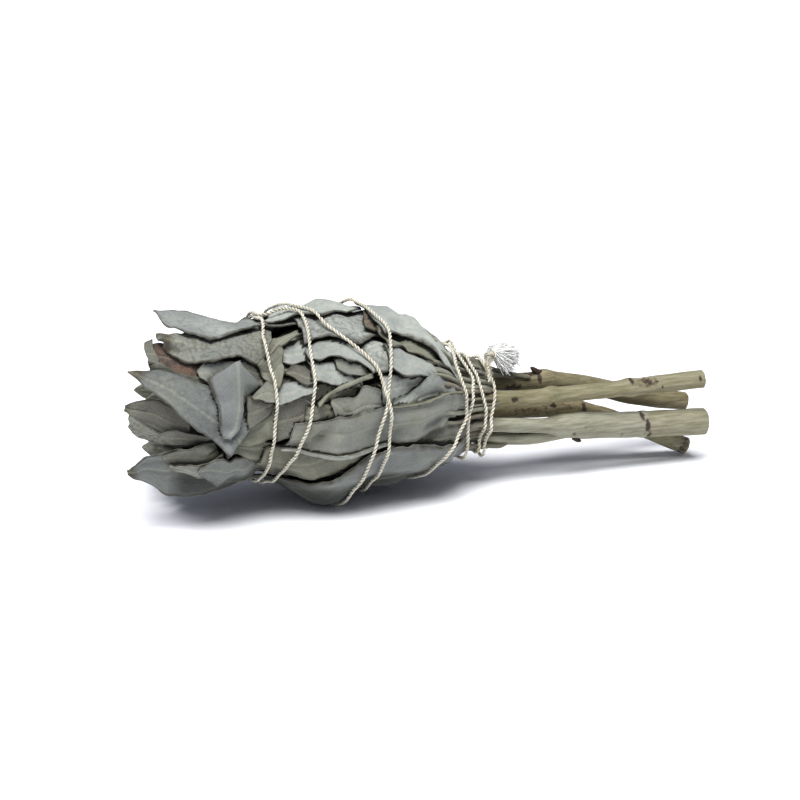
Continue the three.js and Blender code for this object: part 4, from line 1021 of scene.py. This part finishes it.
def tube_frame(path):
    """Unit tangents and two steady cross directions along a path."""
    along = np.gradient(path, axis=0)
    along /= np.linalg.norm(along, axis=1, keepdims=True)
    across = np.zeros_like(along)
    start = np.cross(along[0], [0, 0, 1.0])
    across[0] = start / np.linalg.norm(start)
    for i in range(1, len(path)):
        kept = across[i - 1] - along[i] * np.dot(across[i - 1], along[i])
        across[i] = kept / np.linalg.norm(kept)
    return along, across, np.cross(along, across)


def tube_points(path, radius, sides, twist=0.0):
    """Rings of points round a path. radius may change along and round it."""
    _, across, upright = tube_frame(path)
    turned = np.linspace(0, 2 * np.pi, sides, endpoint=False)[None, :] + twist
    radius = np.broadcast_to(radius, (len(path), sides))[..., None]
    ring = np.cos(turned)[..., None] * across[:, None] + np.sin(turned)[..., None] * upright[:, None]
    return path[:, None] + ring * radius


def tube_faces(rings, sides):
    """The faces between the rings of a tube."""
    i, j = np.meshgrid(np.arange(rings - 1) * sides, np.arange(sides), indexing="ij")
    k = (j + 1) % sides
    return np.stack([i + j, i + k, i + sides + k, i + sides + j], -1).reshape(-1, 4)


LIMB_RINGS, LIMB_SIDES = 240, 40
SCAR_DENT = 0.14
# A cut end, from its rim inwards: (size, how far out it stands).
CUT_END = [(1.0, 0.0), (0.96, 0.05), (0.8, -0.02), (0.55, 0.03), (0.38, -0.08), (0.15, -0.25)]
PITH_DEPTH = 0.25


def scars_of(limb, share, around):
    """How strongly each place of a stem is marked."""
    scars = np.zeros((len(share), len(around)))
    for at, reach, strength, angle, half_angle in limb["marks"]:
        off = (np.degrees(around) - angle + 180) % 360 - 180
        near = np.exp(-((share[:, None] - at) / reach) ** 2 - (off[None] / half_angle) ** 2)
        scars = np.maximum(scars, strength * near)
    return scars


def bark_radius(limb, share, along, around, scars, random):
    """The radius of a stem, with swellings, long ridges and dents at its scars."""
    swelling = 0.10 * ripple(random, along, 3 * np.sin(around)[None], 9)
    ridges = sum(np.sin(k * around[None] + 4 * share[:, None] + random.uniform(0, 6)) for k in (4, 7)) * 0.04
    dented = SCAR_DENT * scars * (1 + ripple(random, along, 3 * around[None], 1.5))
    return from_table(limb["radius"], share)[:, None] + swelling + ridges - dented


def cut_end(rim, outward, random):
    """Rings of points over the cut end of a stem, from its rim inwards, and last its centre."""
    centre = rim.mean(0)
    rings = []
    for size, out in CUT_END:
        uneven = 0.06 * ripple(random, rim[:, 1], rim[:, 2], 1.2)[:, None] * (size < 1)
        rings.append(centre + (rim - centre) * size + outward * (out + uneven))
    return np.concatenate(rings + [(centre - outward * PITH_DEPTH)[None]])


def add_limb(parts, limb, tones, random):
    """One stem or branch with its two cut ends."""
    path = curve_through(limb["path"], LIMB_RINGS)
    length = np.linalg.norm(np.diff(path, axis=0), axis=1).sum()
    share = np.linspace(0, 1, LIMB_RINGS)
    around = np.linspace(0, 2 * np.pi, LIMB_SIDES, endpoint=False)
    scars = scars_of(limb, share, around)
    radius = bark_radius(limb, share, (share * length)[:, None], around, scars, random)
    bark = tube_points(path, radius, LIMB_SIDES)

    def add(points, *faces, **attributes):
        above_floor(points, SURFACE)
        tone = from_table(tones, points[..., 0].ravel())
        parts.add((points + ORIGIN) * MM, *faces, tone=tone, **attributes)

    rings = tube_faces(len(CUT_END), LIMB_SIDES)
    last = np.arange(LIMB_SIDES) + (len(CUT_END) - 1) * LIMB_SIDES
    centre = np.full(LIMB_SIDES, len(CUT_END) * LIMB_SIDES)
    fan = np.stack([last, np.roll(last, -1), centre], 1)
    pith = np.append(np.repeat([size for size, _ in CUT_END], LIMB_SIDES), 0.0)
    cut = np.where(pith < 1, 1.0, 0.6)
    ends = []
    for end, inner in ((-1, -2), (0, 1)):
        outward = path[end] - path[inner]
        ends.append(cut_end(bark[end], outward / np.linalg.norm(outward), random))
    add(bark, tube_faces(LIMB_RINGS, LIMB_SIDES), mark=scars.ravel(), cut=0.0, pith=1.0)
    add(ends[0], rings, fan, mark=0.0, cut=cut, pith=pith)
    add(ends[1], rings[:, ::-1], fan[:, ::-1], mark=0.0, cut=cut, pith=pith)


def add_bud(parts, at, to, radius):
    """A small bud or broken twig, pointing from one place to the other."""
    rings, sides = 14, 16
    middle = np.add(at, to) / 2 + [0, 0, -0.2]
    path = resampled(np.array([at, middle, to], float), rings)
    size = radius * np.sqrt(np.clip(1 - np.linspace(0, 1, rings) ** 2 * 0.98, 0.02, 1))
    lobes = 1 + 0.08 * np.sin(3 * np.linspace(0, 2 * np.pi, sides))
    points = tube_points(path, size[:, None] * lobes[None], sides)
    parts.add((points + ORIGIN) * MM, tube_faces(rings, sides), mark=1.0, cut=0.0, pith=1.0, tone=0.3)


# ---- twine ----
ROUTE_POINTS = 2400
ROUTE_LAG = 16       # so many points on, the twine lies on what it has wound already
TWINE_SINK = 2.0     # it may sink this far into the head's outer radius
TWINE_BITE = 0.1     # and this far into what it lies on


def twine_path(layers):
    """The centre line of the wound twine in scene metres, laid over the leaves and itself."""
    half = TWINE / 2
    flat = [(x, math.radians(angle) * ROUTE_RADIUS, 0) for angle, x in TWINE_ROUTE]
    x, rolled, _ = curve_through(flat, ROUTE_POINTS).T
    angle = np.degrees(rolled / ROUTE_RADIUS)
    rests = np.zeros(ROUTE_POINTS)
    for i in range(ROUTE_POINTS):
        sides = x[i] + half * np.array([-1, -0.5, 0, 0.5, 1])
        below = layers.height(sides, np.full(len(sides), angle[i])).max()
        rests[i] = max(below, float(head_radius(x[i])) - TWINE_SINK) + half - TWINE_BITE
        wound = i - ROUTE_LAG
        if wound >= 0:
            column, row = layers.cells(x[wound] + half * np.array([-1, 0, 1]), np.full(3, angle[wound]))
            layers.top[column, row] = np.maximum(layers.top[column, row], rests[wound] + half)
    return above_floor(place(x, angle, tightened(rests)), (half - 0.06) * MM)


def tightened(rests):
    """The heights of a string pulled straight between the high places that it rests on."""
    tight = np.array([rests[max(0, i - 1):i + 2].max() for i in range(len(rests))])
    for _ in range(30):
        straight = (tight[:-2] + tight[2:]) / 2 * 0.9997
        tight[1:-1] = np.maximum(tight[1:-1], straight)
    for _ in range(6):
        tight[1:-1] = (tight[:-2] + 2 * tight[1:-1] + tight[2:]) / 4
    return tight


def add_plies(parts, path, random):
    """Two plies twisted round the centre line, with a little slubbing and some loose hairs."""
    path = path / MM
    length = np.linalg.norm(np.diff(path, axis=0), axis=1).sum()
    count = int(length / 0.3)
    path = resampled(path, count)
    _, across, upright = tube_frame(path)
    travelled = np.linspace(0, length, count)
    sides = 8
    for ply in range(PLIES):
        turned = 2 * np.pi * (travelled / PLY_PITCH + ply / PLIES) + 0.5 * ripple(random, travelled, 0, 25)
        offset = PLY_OFFSET + 0.02 * ripple(random, travelled, 0, 6)
        outward = np.cos(turned)[:, None] * across + np.sin(turned)[:, None] * upright
        size = PLY_RADIUS * (1 + 0.12 * ripple(random, travelled, 0, 5))
        points = tube_points(path + offset[:, None] * outward, size[:, None], sides)
        above_floor(points, 0.02)
        from_centre = np.linalg.norm(points - path[:, None], axis=2)
        # painted shade in the groove between the plies, where a ply dips towards the centre line
        valley = np.clip((0.36 - from_centre) / 0.15, 0, 1)
        parts.add(points * MM, tube_faces(count, sides), valley=valley.ravel())
    for _ in range(HAIRS):
        add_hair(parts, path[random.integers(4, count - 4)], random)


def add_hair(parts, at, random):
    """A loose hair that stands out of the twine and bends away."""
    outward = random.normal(size=3)
    outward /= np.linalg.norm(outward)
    start = at + outward * 0.4
    bend = random.normal(size=3) * 0.35
    hair = resampled(np.array([start, start + outward * 0.25 + bend * 0.3, start + outward * 0.45 + bend]), 4)
    above_floor(hair, CLEAR)
    thin = np.array([0.035, 0.03, 0.022, 0.01])[:, None]
    parts.add(tube_points(hair, thin, 3) * MM, tube_faces(4, 3), valley=0.0)


def add_tuft(parts, foot, random):
    """The frayed white end of the twine: a brush of fine cotton fibres from a small knot."""
    fibres, rings, sides = 640, 9, 5
    for _ in range(fibres):
        fall = math.radians(random.uniform(-54, -2))
        side = random.uniform(-0.35, 0.3)
        heading = np.array([math.cos(fall), side, math.sin(fall)])
        heading /= np.linalg.norm(heading)
        run = heading * random.uniform(4.8, 6.6) * (1 - 0.2 * abs(side))
        start = foot + random.normal(size=3) * 0.4
        sway = random.normal(size=3) * 0.35
        tip = start + run + sway * 0.6 + random.normal(size=3) * 0.5
        path = resampled(np.array([start, start + run * 0.5 + sway, tip]), rings)
        thick = random.uniform(0.11, 0.22) * np.linspace(1, 0.6, rings)
        parts.add((tube_points(path, thick[:, None], sides) + ORIGIN) * MM, tube_faces(rings, sides))


def knot_path(foot):
    """Two turns of twine round the outermost strand."""
    turn = np.linspace(0, 4.4 * np.pi, 90)
    loop = np.stack([0.95 * np.cos(turn), 0.12 * turn - 0.8, 0.95 * np.sin(turn)], 1)
    return (foot + loop + ORIGIN) * MM


# ---- the leaf stalks in the neck ----
# Curled dark leaf bases that stand out below the neck: points as (x, angle, radius), with their size.
LEAF_BASES = [
    ([(8, 134, 12.4), (12, 139, 11.4), (16, 143, 11.2), (19, 145, 11.2), (21.5, 144, 10.4)], 0.75),
    ([(8, 148, 11.6), (12, 150, 11.0), (16, 149, 10.8), (19, 147, 10.2)], 0.85),
    ([(10, 6, 10.6), (15, 3, 9.3), (19, -4, 7.3), (23, -10, 5.9), (27, -14, 5.0), (29.5, -12, 4.6)], 0.75),
    ([(10, 14, 10.2), (15, 12, 8.6), (19, 8, 6.6), (22.5, 2, 5.4), (25, -4, 4.6)], 0.7)]

# The layers of stalks that fill the neck: (share of the head's radius, how many).
STALK_LAYERS = [(0.62, 22), (0.78, 34), (0.9, 46)]
STALK_TONES = [0.1, 0.16, 0.22, 0.32, 0.42]
BASE_TONE, BASE_BURNT = 0.2, 0.5


def stalk_paths(random):
    """The thin stalks between the leaves and the stems: each its points, size, tone and how burnt it is."""
    made = []
    for layer, count in STALK_LAYERS:
        for i in range(count):
            angle = (i + random.uniform(0.2, 0.8)) / count * 360
            end = random.uniform(15.6, 17.4) + (2.5 if random.uniform() < 0.08 else 0)
            drift = random.uniform(-9, 9)
            radii = [(-10, 0.6), (-3, 0.74 * layer + 0.12), (4, layer), (10, layer), (15, layer * 0.95),
                     (end, layer * 0.84)]
            at = [(x, angle + drift * k / 5, head_radius(x) * share) for k, (x, share) in enumerate(radii)]
            made.append((at, random.uniform(0.45, 0.8), random.choice(STALK_TONES), 0.0))
    return made + [(at, size, BASE_TONE, BASE_BURNT) for at, size in LEAF_BASES]


def add_stalk(parts, stalk, random):
    """One stalk, tapering to a round tip and a little flattened."""
    at, size, tone, burnt = stalk
    rings, sides = 44, 8
    path = place(*curve_through(at, rings).T) / MM
    share = np.linspace(0, 1, rings)
    tapered = 1 - 0.35 * share + 0.12 * ripple(random, share * 20, 0, 4)
    radius = size * tapered * np.sqrt(np.clip((1 - share) * 22, 0.02, 1))
    around = np.linspace(0, 2 * np.pi, sides, endpoint=False)
    flattened = 1 + 0.25 * np.cos(2 * around + random.uniform(0, 6))
    points = above_floor(tube_points(path, radius[:, None] * flattened[None], sides), 0.05)
    local = np.zeros((rings * sides, 3))
    local[:, 0] = np.repeat(share * 25, sides)
    local[:, 2] = random.uniform(0, 10)
    parts.add(points * MM, tube_faces(rings, sides), leaf=local, margin=0.0, tone=tone, burnt=burnt,
              cavity=0.0, pebble=0.3, under=0.0)


# ---- laying it all together ----
def lay_core(layers):
    """The heart of the head, which the leaves lie about."""
    x, angle = np.meshgrid(np.arange(-52, 10, 0.3), np.arange(0, 360, 0.9), indexing="ij")
    layers.cover(x, angle, from_table(CORE_RADIUS, x))


def lay_stems(layers):
    """The stems, from where they come out between the leaves."""
    for limbs in STEMS.values():
        for limb in limbs:
            rings = 300
            radius = from_table(limb["radius"], np.linspace(0, 1, rings))[:, None]
            points = tube_points(curve_through(limb["path"], rings), radius, LIMB_SIDES)
            x, y, z = points[points[..., 0] > 6].T
            z = z - axis_height(x)
            layers.cover(x, np.degrees(np.arctan2(-y, z)), np.hypot(y, z))


def lay_stalks(layers, stalks, count):
    """The upper side of each stalk, at so many points along it."""
    for at, size, _, _ in stalks:
        line = curve_through(at, count)
        layers.cover(line[:, 0], line[:, 1], line[:, 2] + size)


def lay_leaves(layers, blades, press, reach):
    """The leaves as they lie once the head is bound."""
    for blade in blades:
        top = blade.radius * press(blade.x, blade.angle) + BLADE
        layers.cover(blade.dense(blade.x), blade.dense(blade.angle), blade.dense(top), reach)


def make_leaves(blades, press, stalks, random):
    """One piece for the leaves and stalks of each stem."""
    tops = Layers()
    lay_leaves(tops, blades, press, 0)
    look = leaf_material()
    for name, (low, high) in SECTORS.items():
        parts = MeshParts()
        for blade in blades:
            if blade.owner() == name:
                add_blade(parts, blade, press, tops)
        for stalk in stalks:
            angle = stalk[0][2][1]
            if (angle - low) % 360 < high - low:
                add_stalk(parts, stalk, random)
        piece = parts.build(f"sage_leaves_{name}", look)
        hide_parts(f"leaves_{name}")
        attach(piece, "root")


def make_core(press, random):
    """The crumpled heart of the head, closed to a point at the open end."""
    rows, columns = 120, 96
    share, turn = np.meshgrid(np.linspace(0, 1, rows), np.linspace(0, 360, columns, endpoint=False),
                              indexing="ij")
    x = -49 + 59 * share
    rumple = 0.7 * ripple(random, x, turn / 3, 5) + 0.4 * ripple(random, x, turn / 3, 2.2)
    radius = np.maximum(from_table(CORE_RADIUS, x) * press(x, turn) - 0.8 + rumple, 0.02)
    core = MeshParts()
    core.add(place(x, turn, radius), tube_faces(rows, columns))
    core_piece = core.build("inner_leaf_stalks", core_material())
    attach(core_piece, "root")


def make_stems(random):
    """One piece for each stem, with its branch and bud."""
    look = stem_material()
    for name, limbs in STEMS.items():
        parts = MeshParts()
        for limb in limbs:
            add_limb(parts, limb, STEM_TONES[name], random)
        add_bud(parts, *BUDS[name])
        piece = parts.build(f"sage_stem_{name}", look)
        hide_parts(f"stem_{name}")
        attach(piece, "root")


def make_twine(blades, press, stalks, knot, random):
    """The winding, its knot and the run up to it."""
    layers = Layers()
    lay_leaves(layers, blades, press, 1)
    lay_stalks(layers, stalks, 240)
    parts = MeshParts()
    add_plies(parts, twine_path(layers), random)
    add_plies(parts, knot_path(knot), random)
    add_plies(parts, place(*curve_through(KNOT_LEAD, 30).T), random)
    twine_piece = parts.build("cotton_twine", twine_material())
    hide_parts("twine")
    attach(twine_piece, "root")


def make_tuft(foot, random):
    """The frayed end on the knot."""
    parts = MeshParts()
    add_tuft(parts, foot, random)
    tuft_piece = parts.build("frayed_end", tuft_material())
    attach(tuft_piece, "root")


def make_bundle():
    """All pieces, laid and drawn at random in a fixed order."""
    random = np.random.default_rng(SEED)
    layers = Layers()
    lay_core(layers)
    lay_stems(layers)
    stalks = stalk_paths(random)
    lay_stalks(layers, stalks, 120)
    specs = ruled_leaves(random) + scraps(random) + OPEN_END + MIDDLE
    blades = [blade_of(spec, layers, random) for spec in specs]
    press = Press(layers)
    knot = np.array([KNOT_X, KNOT_Y, axis_height(KNOT_X) + KNOT_RISE])
    make_leaves(blades, press, stalks, random)
    make_core(press, random)
    make_stems(random)
    make_twine(blades, press, stalks, knot, random)
    make_tuft(knot + [0.6, 0.6, 0.9], random)


# ---- stage ----
FLOOR_REACH = 12.0       # metres, so that its edge isn't seen from low down
# The lights: where each shines from, how soft it is in degrees, how strong.
LIGHTS = {
    "key": ((-0.15, -0.33, 0.93), 38, 4.1),
    "fill": ((-0.5, -0.8, 0.35), 80, 0.25),
}
AZIMUTH, ELEVATION = -20, 17      # where the camera stands, in degrees
DISTANCE = 600.0                  # mm
TARGET = np.array([-3.1, 0, 20.7])
IMAGE_WIDTH, PIXELS_PER_MM = 800, 4.41
SENSOR = 36


def link(thing):
    bpy.context.scene.collection.objects.link(thing)


def make_floor():
    """The pale surface under the bundle."""
    nodes = Nodes("pale_floor")
    mottled = nodes.noise(nodes.where(), 30, 2)
    shade = nodes.ramp(mottled, [(0.3, (0.93, 0.93, 0.94, 1)), (0.7, (0.95, 0.95, 0.955, 1))])
    look = nodes.finish(Base_Color=shade, Roughness=0.8, Specular_IOR_Level=0.1)
    mesh = bpy.data.meshes.new("floor")
    corners = [(FLOOR_REACH * x, FLOOR_REACH * y, 0) for x, y in ((-1, -1), (1, -1), (1, 1), (-1, 1))]
    mesh.from_pydata(corners, [], [(0, 1, 2, 3)])
    mesh.materials.append(look)
    floor = bpy.data.objects.new("floor", mesh)
    link(floor)


def make_light():
    """A soft key light from above, a faint fill from the front and a cool sky."""
    world = bpy.data.worlds.new("studio")
    world.use_nodes = True
    sky = world.node_tree.nodes["Background"]
    sky.inputs["Color"].default_value = (0.77, 0.82, 1.0, 1)
    sky.inputs["Strength"].default_value = 0.35
    bpy.context.scene.world = world
    for name, (direction, spread, strength) in LIGHTS.items():
        light = bpy.data.lights.new(name, "SUN")
        light.angle = math.radians(spread)
        light.energy = strength
        lamp = bpy.data.objects.new(name, light)
        lamp.rotation_euler = (-Vector(direction)).to_track_quat("-Z", "Y").to_euler()
        link(lamp)
    bpy.context.scene.view_settings.view_transform = "Standard"
    bpy.context.scene.view_settings.gamma = 0.8


def make_camera():
    """The camera, placed by its angles and by how many pixels a millimetre takes in the photo."""
    azimuth, elevation = math.radians(AZIMUTH), math.radians(ELEVATION)
    back = np.array([math.sin(azimuth) * math.cos(elevation), -math.cos(azimuth) * math.cos(elevation),
                     math.sin(elevation)])
    camera = bpy.data.cameras.new("camera")
    camera.sensor_width = SENSOR
    camera.lens = PIXELS_PER_MM * DISTANCE / IMAGE_WIDTH * SENSOR
    camera.clip_start = 0.01
    eye = bpy.data.objects.new("camera", camera)
    eye.location = (TARGET + back * DISTANCE + ORIGIN * [1, 1, 0]) * MM
    eye.rotation_euler = Vector(-back).to_track_quat("-Z", "Y").to_euler()
    link(eye)
    bpy.context.scene.camera = eye


make_bundle()
make_floor()
make_light()
make_camera()
